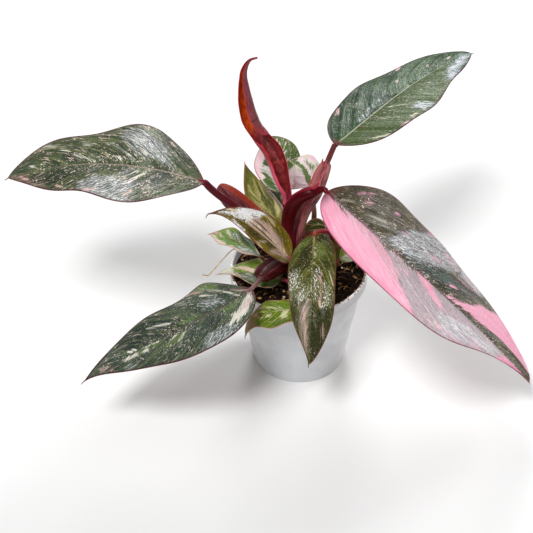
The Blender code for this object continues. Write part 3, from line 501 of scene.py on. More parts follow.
        pink=(((36, -6), (50, 4), (70, 30), (76, 60), (66, 62), (50, 30), (34, 16)),
              ((62, -90), (72, -70), (74, -10), (70, -10))),
        pale=(((68, -110), (74, -30), (76, 40), (74, 110), (102, 110), (102, -110)),
              ((46, -34), (56, -30), (58, -10), (50, -10))),
        painted_sheen=(((30, -90), (36, -20), (64, -30), (66, -90)),),
        dark=(((30, -110), (36, -14), (64, -26), (66, -110)),),
        moss=(((34, 40), (46, 30), (66, 66), (60, 110), (34, 110)),
              ((44, -12), (56, -6), (50, 0))),
        streaks=dict(
            pale=((40, 60, 56, 92, 0.8),))),
    "leaf_small_upright": Look(
        green=(0.23, 0.235, 0.024), shade=(0.072, 0.095, 0.01), light=(0.52, 0.44, 0.15), lean=(0.55, 0.55),
        veins=8, flecks=1.0, rib=(0.42, 0.38, 0.14), rib_reach=0.6, margin=(0.5, 0.2, 0.12),
        pale_tint=(0.64, 0.56, 0.26), moss_tint=(0.2, 0.26, 0.02), fleck_tint=(0.66, 0.6, 0.32), gloss=0.14,
        pale=(((28, -2), (32, -40), (44, -62), (66, -50), (64, -10), (48, 2)),
              ((10, 30), (24, 60), (30, 90), (14, 90))),
        dark=(((6, 4), (30, 20), (56, 24), (72, 50), (40, 90), (20, 90)),),
        streaks=dict(
            pale=((15, -15, 55, -60, 0.8), (62, -36, 70, -40, 1.6), (45, 6, 66, 14, 0.8),
                  (40, 50, 66, 80, 0.8), (50, 20, 74, 44, 0.6)),
            moss=((24, -6, 52, -30, 0.6), (30, -20, 60, -48, 0.7), (36, -40, 58, -66, 0.7),
                  (44, -6, 66, -26, 0.6), (62, -10, 86, -30, 0.7)))),
    "leaf_small_folded": Look(
        green=(0.15, 0.23, 0.035), shade=(0.08, 0.13, 0.022), lean=(0.4, 0.4), veins=6, flecks=0.4,
        rib=(0.4, 0.3, 0.12), margin=(0.66, 0.34, 0.22), margin_width=0.8, underside=(0.12, 0.165, 0.04),
        streaks=dict(
            pale=((20, 35, 70, 60, 0.9),))),
    "leaf_small_right": Look(
        green=(0.26, 0.34, 0.028), shade=(0.13, 0.19, 0.02), light=(0.36, 0.44, 0.06), lean=(0.4, 0.4),
        veins=7, flecks=0.6, rib=(0.55, 0.4, 0.26), margin=(0.6, 0.4, 0.3), pale_tint=(0.62, 0.68, 0.54),
        pale=(((5, 16), (40, 12), (80, 20), (90, 100), (20, 110)),)),
    "leaf_small_front": Look(
        green=(0.2, 0.33, 0.016), shade=(0.072, 0.125, 0.01), light=(0.42, 0.52, 0.05), lean=(0.42, 0.42),
        veins=8, flecks=0.8, rib=(0.42, 0.42, 0.2), rib_reach=0.5, margin=(0.55, 0.28, 0.22),
        pink_tint=(0.84, 0.34, 0.32), pale_tint=(0.74, 0.7, 0.44), haze_tint=(0.27, 0.165, 0.065),
        haze_fill=0.85, fleck_tint=(0.72, 0.7, 0.44), gloss=0.16,
        pale=(((20, -2), (22, -60), (30, -64), (30, -30), (26, -5)),
              ((42, -14), (43, -28), (50, -24), (48, -10))),
        haze=(((66, -110), (68, 0), (70, 110), (105, 110), (105, -110)),),
        streaks=dict(
            pink=((61, 18, 66, 46, 2.4),),
            pale=((30, 20, 46, 40, 0.9), (44, 16, 56, 36, 0.8), (28, 6, 32, 30, 1.0),
                  (56, -20, 60, -10, 0.8)),
            rosy=((54, 40, 60, 90, 1.2),))),
    "leaf_back_round": Look(
        green=(0.135, 0.215, 0.06), shade=(0.085, 0.15, 0.042), light=(0.23, 0.33, 0.13), lean=(0.35, 0.35),
        veins=8, flecks=1.2, rib=(0.4, 0.42, 0.3), margin=(0.42, 0.24, 0.18), pink_tint=(0.97, 0.8, 0.8),
        pale_tint=(0.92, 0.93, 0.88), moss_tint=(0.15, 0.26, 0.075), fleck_tint=(0.8, 0.78, 0.56),
        jagged=0.55, gloss=0.12,
        pink=(((34, -50), (50, -72), (80, -40), (92, -60), (90, -110), (36, -110)),
              ((-2, 10), (20, 16), (36, 36), (28, 110), (-2, 110)),
              ((10, -30), (60, -40), (60, -10), (10, -10))),
        pale=(((-2, 0), (42, 0), (52, -40), (60, -110), (-2, -110)),
              ((28, 26), (42, 40), (44, 110), (26, 110))),
        moss=(((2, -96), (6, -56), (26, -50), (44, -62), (50, -78), (36, -76), (30, -92), (18, -100)),
              ((34, 30), (46, 44), (46, 74), (38, 60))),
        streaks=dict(
            pale=((60, 20, 68, 50, 0.9), (70, 8, 80, 20, 0.9), (50, 30, 54, 56, 0.8), (72, 30, 90, 50, 0.9),
                  (86, 0, 96, 20, 0.9)),
            pink=((78, 60, 82, 80, 0.8),))),
    "leaf_back_pale": Look(
        green=(0.13, 0.21, 0.055), shade=(0.11, 0.17, 0.05), light=(0.22, 0.3, 0.11), lean=(0.45, 0.45),
        veins=8, flecks=0.3, rib=(0.16, 0.26, 0.07), margin=(0.8, 0.5, 0.48), pink_tint=(0.97, 0.78, 0.82),
        pale_tint=(0.82, 0.8, 0.66), moss_tint=(0.3, 0.36, 0.22), jagged=0.4,
        pink=(((-2, -12), (30, -20), (55, -30), (75, -80), (60, -110), (-2, -110)),
              ((10, 14), (50, 12), (82, 30), (78, 90), (66, 60), (50, 30), (14, 24)),
              ((46, 62), (60, 60), (66, 110), (46, 110))),
        pale=(((0, 12), (70, 8), (80, 30), (80, 110), (0, 110)),
              ((40, -20), (66, -14), (84, -50), (82, -110), (50, -110))),
        moss=(((36, 40), (46, 30), (64, 34), (60, 46), (46, 50), (40, 80)),)),
    "leaf_back_dark": Look(
        green=(0.1, 0.12, 0.07), shade=(0.06, 0.075, 0.045), lean=(0.35, 0.35), veins=7, flecks=0.6,
        streaks=dict(
            pale=((35, 20, 50, 70, 0.9),),
            pink=((50, -20, 62, -60, 0.9),))),
    "sheath_left": Look(
        green=(0.175, 0.036, 0.042), shade=(0.085, 0.014, 0.018), light=(0.3, 0.1, 0.11), lean=(0.9, 0.9),
        veins=3, relief=0.0, flecks=0.0, rib=(0.15, 0.02, 0.02), rib_reach=0.1, margin=(0.44, 0.06, 0.04),
        pink_tint=(0.4, 0.085, 0.095), pale_tint=(0.33, 0.034, 0.01), jagged=0.25, gloss=0.14,
        underside=(0.33, 0.034, 0.01), roughness=0.24,
        pink=(((5, -42), (100, -42), (100, -24), (5, -26)),),
        pale=(((-2, 34), (50, 38), (102, 30), (102, 110), (-2, 110)),)),
}


@dataclass
class Petiole:
    """A stalk through a few points, with its radius at each.

    Its winged and grooved sheath covers the first few points, counted with a fraction, and faces one way. The
    tints run from its foot to its blade. The ligule is how far the sheath's free tip stands out at its end,
    and the edge is the colour of the sheath's thin borders.
    """

    points: tuple
    radius: tuple
    tints: tuple
    sheath: float = 0.0
    wing: float = 1.0
    groove: float = 0.12
    faces: tuple = (0, -0.3, 1)
    lead: float = 0.0025
    ligule: float = 0.0
    edge: tuple = (0.30, 0.03, 0.05)
    streak: float = 0.35


MAROON = (0.062, 0.0008, 0.003)
DARK_RED = (0.220, 0.014, 0.026)
PINK_BROWN = (0.400, 0.140, 0.125)
ROSE = (0.560, 0.110, 0.150)
PURPLE = (0.085, 0.012, 0.026)
PLUM = (0.054, 0.004, 0.004)
WINE = (0.185, 0.040, 0.042)
WINE_DARK = (0.085, 0.008, 0.012)
ROSE_BROWN = (0.470, 0.170, 0.160)
BRICK = (0.330, 0.055, 0.025)
GREY_ROSE = (0.300, 0.165, 0.155)
ORANGE = (0.460, 0.085, 0.026)
TAN = (0.420, 0.260, 0.150)
OLIVE_BROWN = (0.130, 0.080, 0.025)
STALK_GREEN = (0.160, 0.190, 0.040)

SHOOTS = {
    "stems_main": dict(
        stem=Petiole(
            points=((-0.0025, 0, STEM_FOOT), (-0.0025, 0, 0.052), (-0.0025, 0, 0.064),
                    (-0.0022, 0.0005, 0.075)),
            radius=(0.0046, 0.0046, 0.0042, 0.0034), tints=(OLIVE_BROWN, OLIVE_BROWN, MAROON), groove=0.0),
        petioles=dict(
            leaf_right_pink=Petiole(
                points=((-0.0030, 0, 0.066), (-0.0045, -0.0005, 0.078), (-0.0055, -0.001, 0.089),
                        (-0.0045, -0.001, 0.098), (-0.002, -0.001, 0.105), (0.002, -0.0015, 0.1098),
                        (0.0070, -0.002, 0.1120)),
                radius=(0.0026, 0.0027, 0.0030, 0.0034, 0.0037, 0.0036, 0.0030, 0.0014),
                tints=(DARK_RED, MAROON, MAROON, DARK_RED), sheath=6.2, wing=1.10, groove=0.40,
                faces=(-0.3, 0.6, 1), ligule=0.0034, edge=(0.36, 0.020, 0.050)),
            leaf_right_upper=Petiole(
                points=((-0.0015, 0.002, 0.066), (-0.0003, 0.0035, 0.080), (0.0025, 0.0065, 0.0925),
                        (0.0085, 0.0105, 0.102), (0.0120, 0.0135, 0.1100), (0.0146, 0.0153, 0.1160),
                        (0.0152, 0.0157, 0.1174)),
                radius=(0.0024, 0.0027, 0.0034, 0.0038, 0.0036, 0.0026, 0.0014, 0.0014),
                tints=(DARK_RED, PINK_BROWN, ROSE_BROWN, ROSE_BROWN, ROSE_BROWN, WINE, WINE, WINE),
                sheath=5.2, wing=1.12, groove=0.45, faces=(-1, -0.5, 0.5), lead=0.0008, ligule=0.0022,
                edge=(0.56, 0.090, 0.130), streak=1.0),
            leaf_left_upper=Petiole(
                points=((-0.0025, 0.001, 0.066), (-0.0075, 0.0012, 0.0755), (-0.0170, 0.0020, 0.0860),
                        (-0.0295, 0.0045, 0.0968), (-0.0390, 0.0078, 0.1030), (-0.0445, 0.0096, 0.1078)),
                radius=(0.0026, 0.0024, 0.0022, 0.0020, 0.0019, 0.0019, 0.0017),
                tints=(DARK_RED, WINE_DARK, WINE_DARK, WINE_DARK, DARK_RED), lead=0.0008),
            leaf_left_lower=Petiole(
                points=((-0.0030, -0.002, 0.066), (-0.0055, -0.0045, 0.0710), (-0.0090, -0.008, 0.0720),
                        (-0.0165, -0.017, 0.0738), (-0.0196, -0.0222, 0.0745), (-0.0202, -0.0234, 0.0746)),
                radius=(0.0026, 0.0030, 0.0034, 0.0034, 0.0024, 0.0012, 0.0011),
                tints=(PLUM, PLUM, PLUM, PLUM, PLUM, GREY_ROSE, GREY_ROSE, GREY_ROSE), sheath=4.3, wing=1.80,
                groove=0.36, faces=(0, 0, 1), lead=0.0010, ligule=0.0016, edge=(0.085, 0.012, 0.016),
                streak=0.7),
            leaf_front_left=Petiole(
                points=((-0.0025, -0.002, 0.064), (-0.0018, -0.0080, 0.0700)),
                radius=(0.0020, 0.0018, 0.0014), tints=(OLIVE_BROWN, DARK_RED, PINK_BROWN)),
            leaf_small_left=Petiole(
                points=((-0.0025, 0.001, 0.0625), (-0.0100, 0.0010, 0.0670)),
                radius=(0.0014, 0.0012, 0.0009), tints=(OLIVE_BROWN, PINK_BROWN)),
            leaf_small_upright=Petiole(
                points=((-0.0025, 0.002, 0.062), (-0.0050, 0.0100, 0.0690)),
                radius=(0.0018, 0.0015, 0.0012), tints=(OLIVE_BROWN, STALK_GREEN)),
            new_leaf=Petiole(
                points=((-0.0025, 0.002, 0.066), (-0.0040, 0.006, 0.082)),
                radius=(0.0026, 0.0023, 0.0020), tints=(DARK_RED, MAROON, DARK_RED)),
            sheath_left=Petiole(
                points=((-0.0025, 0.001, 0.064), (-0.0060, 0.0070, 0.0725)),
                radius=(0.0020, 0.0016, 0.0010), tints=(MAROON, DARK_RED)),
        )),
    "stems_back": dict(
        stem=Petiole(
            points=((0.006, 0.016, STEM_FOOT), (0.006, 0.016, 0.052), (0.006, 0.0165, 0.064),
                    (0.005, 0.017, 0.074)),
            radius=(0.0027, 0.0027, 0.0024, 0.0020), tints=(OLIVE_BROWN, TAN, PINK_BROWN), groove=0.0),
        petioles=dict(
            leaf_back_round=Petiole(
                points=((0.0055, 0.017, 0.066), (0.002, 0.0205, 0.079)),
                radius=(0.0016, 0.0014, 0.0011), tints=(TAN, TAN, STALK_GREEN)),
            leaf_back_pale=Petiole(
                points=((0.0055, 0.017, 0.066), (0.0088, 0.018, 0.080)),
                radius=(0.0016, 0.0014, 0.0011), tints=(TAN, PINK_BROWN, PINK_BROWN)),
            leaf_back_dark=Petiole(
                points=((0.0055, 0.017, 0.062), (0.002, 0.0215, 0.0690)),
                radius=(0.0014, 0.0013, 0.0010), tints=(OLIVE_BROWN, STALK_GREEN)),
        )),
    "stems_front": dict(
        stem=Petiole(
            points=((-0.003, -0.013, STEM_FOOT), (-0.003, -0.013, 0.050), (-0.003, -0.013, 0.060)),
            radius=(0.0024, 0.0022, 0.0018), tints=(OLIVE_BROWN, PURPLE), groove=0.0),
        petioles=dict(
            leaf_small_low_left=Petiole(
                points=((-0.003, -0.013, 0.0585), (-0.0044, -0.0133, 0.0618)),
                radius=(0.0014, 0.0013, 0.0010), tints=(PURPLE, ROSE)),
            leaf_small_front=Petiole(
                points=((-0.003, -0.013, 0.0585), (-0.0005, -0.0200, 0.0635), (0.0045, -0.0310, 0.0665)),
                radius=(0.0014, 0.0012, 0.0011, 0.0009), tints=(PURPLE, ROSE, STALK_GREEN)),
        )),
    "stems_right": dict(
        stem=Petiole(
            points=((0.0203, 0.0105, STEM_FOOT), (0.0203, 0.0105, 0.052), (0.0203, 0.0105, 0.060),
                    (0.0195, 0.0105, 0.067)),
            radius=(0.0027, 0.0027, 0.0025, 0.0021), tints=(OLIVE_BROWN, STALK_GREEN, OLIVE_BROWN),
            groove=0.0),
        petioles=dict(
            leaf_front=Petiole(
                points=((0.0200, 0.0105, 0.063), (0.0190, 0.0092, 0.0725), (0.0165, 0.0055, 0.0800),
                        (0.0125, 0.0022, 0.0834)),
                radius=(0.0019, 0.0018, 0.0015, 0.0012, 0.0011),
                tints=(STALK_GREEN, DARK_RED, DARK_RED, BRICK, BRICK), lead=0.0012),
            leaf_small_folded=Petiole(
                points=((0.0200, 0.0110, 0.063), (0.0205, 0.0125, 0.0715)),
                radius=(0.0011, 0.0010, 0.0008), tints=(OLIVE_BROWN, ORANGE)),
            leaf_small_right=Petiole(
                points=((0.0200, 0.0105, 0.0590), (0.0178, 0.0030, 0.0612)),
                radius=(0.0013, 0.0011, 0.0009), tints=(OLIVE_BROWN, PINK_BROWN)),
        )),
}

# New leaf: a rolled blade on the solid's path, with its radius, the turn of its back in degrees, and the arc
# from its back to a margin
NEW_LEAF_PATH = (
    (-0.0057, 0.008, 0.0975), (-0.0055, 0.008, 0.1030), (-0.0080, 0.008, 0.1135), (-0.0095, 0.008, 0.1215),
    (-0.0122, 0.008, 0.1300), (-0.0152, 0.008, 0.1350), (-0.0203, 0.008, 0.1425), (-0.0233, 0.008, 0.1495),
    (-0.0250, 0.008, 0.1600), (-0.0255, 0.008, 0.1720), (-0.0245, 0.008, 0.1775), (-0.0220, 0.008, 0.1815),
    (-0.0185, 0.008, 0.1827),
)
NEW_LEAF_RADIUS = (
    0.0018, 0.0022, 0.0039, 0.0046, 0.0048, 0.0043, 0.0039, 0.0042, 0.0034, 0.0017, 0.0012, 0.0006, 0.0004,
)
NEW_LEAF_TURN = (-20, -20, -20, -20, -20, -20, 45, 48, 44, 45, 45, 45, 45)
NEW_LEAF_ARC = (165, 150, 125, 115, 110, 112, 128, 130, 136, 142, 145, 152, 160)
NEW_LEAF_FOOT = Leaf(
    base=NEW_LEAF_PATH[0], heading=(90, 90, 90), pitch=(88, 88, 88), length=0.001, width=0.001)
NEW_LEAF_FRONT = (0, -0.75, 0.66)
NEW_LEAF_WALL = 0.0006
NEW_LEAF_RINGS = 190
NEW_LEAF_SIDES = 44
# where a painted shade line marks a fold, as a share along the young leaf
NEW_LEAF_CREASE = 0.585
ACROSS_GRAIN = 6


def blend3(values, share):
    """A value that starts at the first of three, leans to the second and ends at the third."""
    rest = 1 - share
    return values[0] * rest**2 + 2 * values[1] * share * rest + values[2] * share**2


def direction(leaf, share):
    """Unit vectors along the midrib; past the blade's end they turn as its drip does."""
    inside = np.clip(share, 0, 1)
    past = np.clip((share - 1) * leaf.length / max(leaf.drip[0], TINY), 0, 1)
    heading = np.radians(blend3(leaf.heading, inside) + leaf.drip[1] * past)
    pitch = np.radians(blend3(leaf.pitch, inside) + leaf.drip[2] * past)
    flat = np.cos(pitch)
    return np.stack([flat * np.cos(heading), flat * np.sin(heading), np.sin(pitch)], -1)


def midrib(leaf, share):
    """Points, right-hand directions and upward directions at shares of the blade's length."""
    steps = PATH_STEPS + math.ceil(PATH_STEPS * leaf.drip[0] / leaf.length)
    middles = (np.arange(steps) + 0.5) / PATH_STEPS
    path = np.vstack([np.zeros(3), np.cumsum(direction(leaf, middles) * leaf.length / PATH_STEPS, axis=0)])
    path = path + np.array(leaf.base)
    points = sampled(share, np.arange(steps + 1) / PATH_STEPS, path)
    way = direction(leaf, share)
    level = np.stack([way[..., 1], -way[..., 0], np.zeros_like(share)], -1)
    level /= np.maximum(np.linalg.norm(level, axis=-1, keepdims=True), TINY)
    above = np.cross(level, way)
    roll = np.radians(leaf.roll[0] + (leaf.roll[1] - leaf.roll[0]) * share)[..., None]
    return points, level * np.cos(roll) - above * np.sin(roll), above * np.cos(roll) + level * np.sin(roll)


def sampled(at, stations, values):
    """Rows of three values, read between their stations."""
    return np.stack([np.interp(at, stations, values[:, axis]) for axis in range(3)], -1)


def half_width(leaf, share, side):
    """The blade's half width at shares of its length, on the side whose sign is given."""
    share = np.clip(share, 0, 1)
    rise = np.clip(1 - (1 - np.clip(share / leaf.peak, 0, 1)) ** 2, 0, 1) ** leaf.shoulder
    past = np.clip((share - leaf.peak) / (1 - leaf.peak), 0, 1)
    fall = np.cos(np.pi / 2 * past**FALL_BEND) ** np.where(side > 0, leaf.tip[1], leaf.tip[0])
    amount, left, right = leaf.ripple
    ripple = 1 + amount * np.sin(4 * np.pi * share + np.radians(np.where(side > 0, right, left)))
    return leaf.width / 2 * np.where(share < leaf.peak, rise, fall) * ripple


def full_width(leaf, share, side):
    """The half width with the drip tip: never thinner than the midrib, which tapers past the blade's end."""
    reach = 1 + leaf.drip[0] / leaf.length
    left_over = np.clip((reach - share) / (reach - DRIP_START), 0, 1)
    least = DRIP_HALF_WIDTH * (DRIP_END + (1 - DRIP_END) * left_over)
    least = least * np.clip(share / BASE_TAPER + BASE_LEAST, 0, 1)
    return np.hypot(half_width(leaf, share, side), least)


def blade_points(leaf, share, across):
    """Points of the blade's upper face; across runs from -1 at the left edge to 1 at the right."""
    points, right, up = midrib(leaf, share)
    width = full_width(leaf, share, across)
    out = np.abs(across)
    fold = np.radians(np.where(across > 0, leaf.fold[1], leaf.fold[0]))
    curl = np.radians(BLADE_CURL)
    side = np.sign(across) * width * (np.sin(fold + curl * out) - np.sin(fold)) / curl
    rise = -width * (np.cos(fold + curl * out) - np.cos(fold)) / curl
    height, count, phase = leaf.wave
    turn = 2 * np.pi * count * share + np.radians(phase) + np.where(across > 0, np.pi / 2, 0)
    rise = rise + height * np.sin(turn) * out**2 * np.sqrt(np.sin(np.pi * np.clip(share, 0, 1)))
    return points + right * side[..., None] + up * rise[..., None]


def beside(x, y, start, end):
    """For each point, how far along a line it lies, from 0 to 1, and its distance from the line."""
    (ax, ay), (bx, by) = start, end
    ex, ey = bx - ax, by - ay
    run = np.clip(((x - ax) * ex + (y - ay) * ey) / max(ex * ex + ey * ey, TINY), 0, 1)
    return run, np.hypot(x - ax - run * ex, y - ay - run * ey)


def signed_distance(x, y, corners):
    """How far points lie inside an outline: positive inside it, negative outside."""
    near = np.full(x.shape, np.inf)
    inside = np.zeros(x.shape, bool)
    for start, end in zip(corners, corners[1:] + corners[:1]):
        near = np.minimum(near, beside(x, y, start, end)[1])
        (ax, ay), (bx, by) = start, end
        if ay != by:
            inside ^= ((ay > y) != (by > y)) & (x < ax + (y - ay) * (bx - ax) / (by - ay))
    return np.where(inside, near, -near)


def mark_field(leaf, look, share, across, kind):
    """How far each point lies inside the blade's patches and streaks of one kind, in millimetres."""
    def place(along, side):
        width = float(half_width(leaf, np.array(min(max(along, END_SHARE), 1 - END_SHARE)), np.array(side)))
        return along * leaf.length * MM, side * width * MM

    x = share * leaf.length * MM
    y = across * half_width(leaf, share, across) * MM
    depth = np.full(share.shape, -FIELD_LIMIT)
    for outline in getattr(look, kind, ()):
        corners = np.array(outline) / PERCENT
        ahead = np.roll(corners, -1, axis=0)
        points = [place(*(a + (b - a) * part)) for a, b in zip(corners, ahead)
                  for part in np.arange(OUTLINE_STEPS) / OUTLINE_STEPS]
        depth = np.maximum(depth, signed_distance(x, y, points))
    for *ends, width in look.streaks.get(kind, ()):
        ax, ay, bx, by = np.array(ends) / PERCENT
        run, away = beside(x, y, place(ax, ay), place(bx, by))
        taper = STREAK_END + (1 - STREAK_END) * np.sin(np.pi * np.clip(run, STREAK_BLUNT, 1 - STREAK_BLUNT))
        depth = np.maximum(depth, width / 2 * taper - away)
    return np.clip(depth, -FIELD_LIMIT, FIELD_LIMIT)


def vein_phase(look, share, across):
    """Where along the midrib the side vein through each point starts, as a share of the length."""
    lean = np.where(across > 0, look.lean[1], look.lean[0])
    return share - lean * np.abs(across) ** VEIN_BEND


def blade_relief(leaf, look, share, across, seed):
    """Height of the upper face over the smooth blade: the midrib's groove, the side veins and the puckers."""
    width = half_width(leaf, share, across)
    rib = np.abs(across) * width
    groove = -RIB_GROOVE * (1 - GROOVE_FADE * share) * np.exp(-(rib / (GROOVE_SHARE * RIB_WIDTH)) ** 2)
    phase = vein_phase(look, share, across) * look.veins * 2 * np.pi + seed
    lines = 0.5 + 0.5 * np.cos(phase)
    strength = look.relief * np.clip(width / FULL_RELIEF_WIDTH, 0, 1)
    strength = strength * np.clip(rib / RIB_CLEAR, 0, 1) * np.clip((1 - np.abs(across)) / EDGE_CLEAR, 0, 1)
    puckers = np.sin(share * 21 + seed) * np.cos(across * 4.3 + seed * 1.7)
    puckers = puckers + 0.6 * np.sin(share * 43 - across * 5)
    return groove - strength * lines**4 + strength * SWELL * np.sin(phase / 2) + PUCKER * strength * puckers


def give(mesh, name, values):
    """Writes one value, or three, for each of the mesh's points as an attribute."""
    values = np.asarray(values, np.float32)
    if values.ndim == 1:
        mesh.attributes.new(name, "FLOAT", "POINT").data.foreach_set("value", values)
    else:
        mesh.attributes.new(name, "FLOAT_VECTOR", "POINT").data.foreach_set("vector", values.ravel())


def link(name, data):
    """An object of the scene with that data."""
    made = bpy.data.objects.new(name, data)
    bpy.context.collection.objects.link(made)
    return made


def add_piece(name, points, faces, material, node=None):
    """A piece with that mesh, in place of a node if one is named."""
    mesh = bpy.data.meshes.new(name)
    mesh.from_pydata(np.asarray(points, float).tolist(), [], faces)
    mesh.materials.append(material)
    mesh.shade_smooth()
    made = link(name, mesh)
    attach(made, "root")
    if node:
        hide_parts(node)
    return made


def grid_faces(rows, columns, start=0, flip=False, wrap=False):
    """Four-sided faces of a grid of points that are counted row by row."""
    faces = []
    for row in range(rows - 1):
        for column in range(columns if wrap else columns - 1):
            a, b = start + row * columns + column, start + row * columns + (column + 1) % columns
            face = (a, b, b + columns, a + columns)
            faces.append(face[::-1] if flip else face)
    return faces


def sheet_faces(rows, columns):
    """Faces of a closed sheet: its upper grid, its lower grid and the border between them."""
    count = rows * columns
    row, down = np.arange(columns), np.arange(rows) * columns
    border = np.concatenate([row[::-1], down[1:], down[-1] + row[1:], down[-2::-1] + columns - 1]).tolist()
    faces = grid_faces(rows, columns) + grid_faces(rows, columns, start=count, flip=True)
    return faces + [(a, b, b + count, a + count) for a, b in zip(border, border[1:])]


def build_blade(name, leaf, look, seed):
    """A blade as a thin closed form with veins, its midrib below, and the fields that its material reads."""
    rows, half = (LARGE_ROWS, LARGE_HALF) if leaf.length > LARGE_LEAF else (SMALL_ROWS, SMALL_HALF)
    columns = np.concatenate([-half[::-1], [0.0], half])
    even = np.arange(rows) / (rows - 1)
    crowded = even * (1 - END_CROWDING) + END_CROWDING * (0.5 - 0.5 * np.cos(np.pi * even))
    share, across = np.meshgrid(crowded * (1 + leaf.drip[0] / leaf.length), columns, indexing="ij")
    smooth = blade_points(leaf, share, across)
    normal = np.cross(np.gradient(smooth, axis=1), np.gradient(smooth, axis=0))
    normal /= np.maximum(np.linalg.norm(normal, axis=-1, keepdims=True), TINY)
    _, _, up = midrib(leaf, share)
    broad = np.clip(half_width(leaf, share, across) / NARROW, 0, 1)[..., None]
    normal = normal * broad + up * (1 - broad)
    normal /= np.linalg.norm(normal, axis=-1, keepdims=True)
    width = full_width(leaf, share, across)
    rib, edge = across * width, (1 - np.abs(across)) * width
    top = smooth + normal * blade_relief(leaf, look, share, across, seed)[..., None]
    body = MARGIN_THICKNESS + (BLADE_THICKNESS - MARGIN_THICKNESS) * np.clip(edge / MARGIN_REACH, 0, 1)
    bulge = RIB_RELIEF * np.clip(1.05 - share, 0, 1) * np.exp(-(rib / RIB_WIDTH) ** 2)
    under = top - normal * (body + bulge)[..., None]
    points = np.vstack([top.reshape(-1, 3), under.reshape(-1, 3)])
    faces = sheet_faces(*share.shape)
    made = add_piece(name + "_blade", points, faces, leaf_material(name, look), name)
    vein = vein_phase(look, share, across)
    length, apart = leaf.length * MM, seed * BLADE_APART
    fields = dict(
        along=share, rib=rib * MM, edge=edge * MM, vein=vein * look.veins,
        plane=np.stack([share * length, rib * MM, np.full(share.shape, apart)], -1),
        flow=np.stack([np.abs(rib) * MM, vein * length, apart + HALVES_APART * (across > 0)], -1))
    for kind in MARKS:
        fields[kind] = mark_field(leaf, look, share, across, kind)
    for key, values in fields.items():
        flat = values.reshape(share.size, -1).squeeze()
        give(made.data, key, np.concatenate([flat, flat]))
    give(made.data, "below", np.repeat((0, 1), share.size))


def smooth_path(points, count):
    """Points evenly spread along a smooth curve through the given ones, each with its place among them."""
    knots = np.array(points, float)
    padded = np.vstack([2 * knots[0] - knots[1], knots, 2 * knots[-1] - knots[-2]])
    t = np.arange(KNOT_STEPS)[:, None] / KNOT_STEPS
    dense = []
    for a, b, c, d in zip(padded, padded[1:], padded[2:], padded[3:]):
        dense.append(0.5 * (2 * b + (c - a) * t + (2 * a - 5 * b + 4 * c - d) * t**2
                            + (3 * b - a - 3 * c + d) * t**3))
    dense = np.vstack(dense + [knots[-1:]])
    run = np.concatenate([[0], np.cumsum(np.linalg.norm(np.diff(dense, axis=0), axis=1))])
    wanted = np.linspace(0, run[-1], count)
    return sampled(wanted, run, dense), np.interp(wanted, run, np.arange(len(dense)) / KNOT_STEPS), wanted


def frames(path, faces_way):
    """For each point of a path, the way it runs, the way its front faces, and the way to its side."""
    along = np.gradient(path, axis=0)
    along /= np.linalg.norm(along, axis=1, keepdims=True)
    front = np.array(faces_way, float) - along * (along @ np.array(faces_way, float))[:, None]
    front /= np.linalg.norm(front, axis=1, keepdims=True)
    return along, front, np.cross(along, front)


def rings_round(path, front, side, depth, breadth):
    """Rings of points round a path, from how far each point stands to the front and to the side."""
    return path[:, None] + front[:, None] * depth[..., None] + side[:, None] * breadth[..., None]


def ring_angles(sides):
    """The angles of a ring's points, from its front."""
    return 2 * np.pi * np.arange(sides) / sides


def tube_faces(rows, sides, start=0):
    """Faces of a tube through rings of points, with closed ends."""
    faces = grid_faces(rows, sides, start=start, wrap=True)
    faces.append(tuple(range(start + sides - 1, start - 1, -1)))
    faces.append(tuple(range(start + (rows - 1) * sides, start + rows * sides)))
    return faces


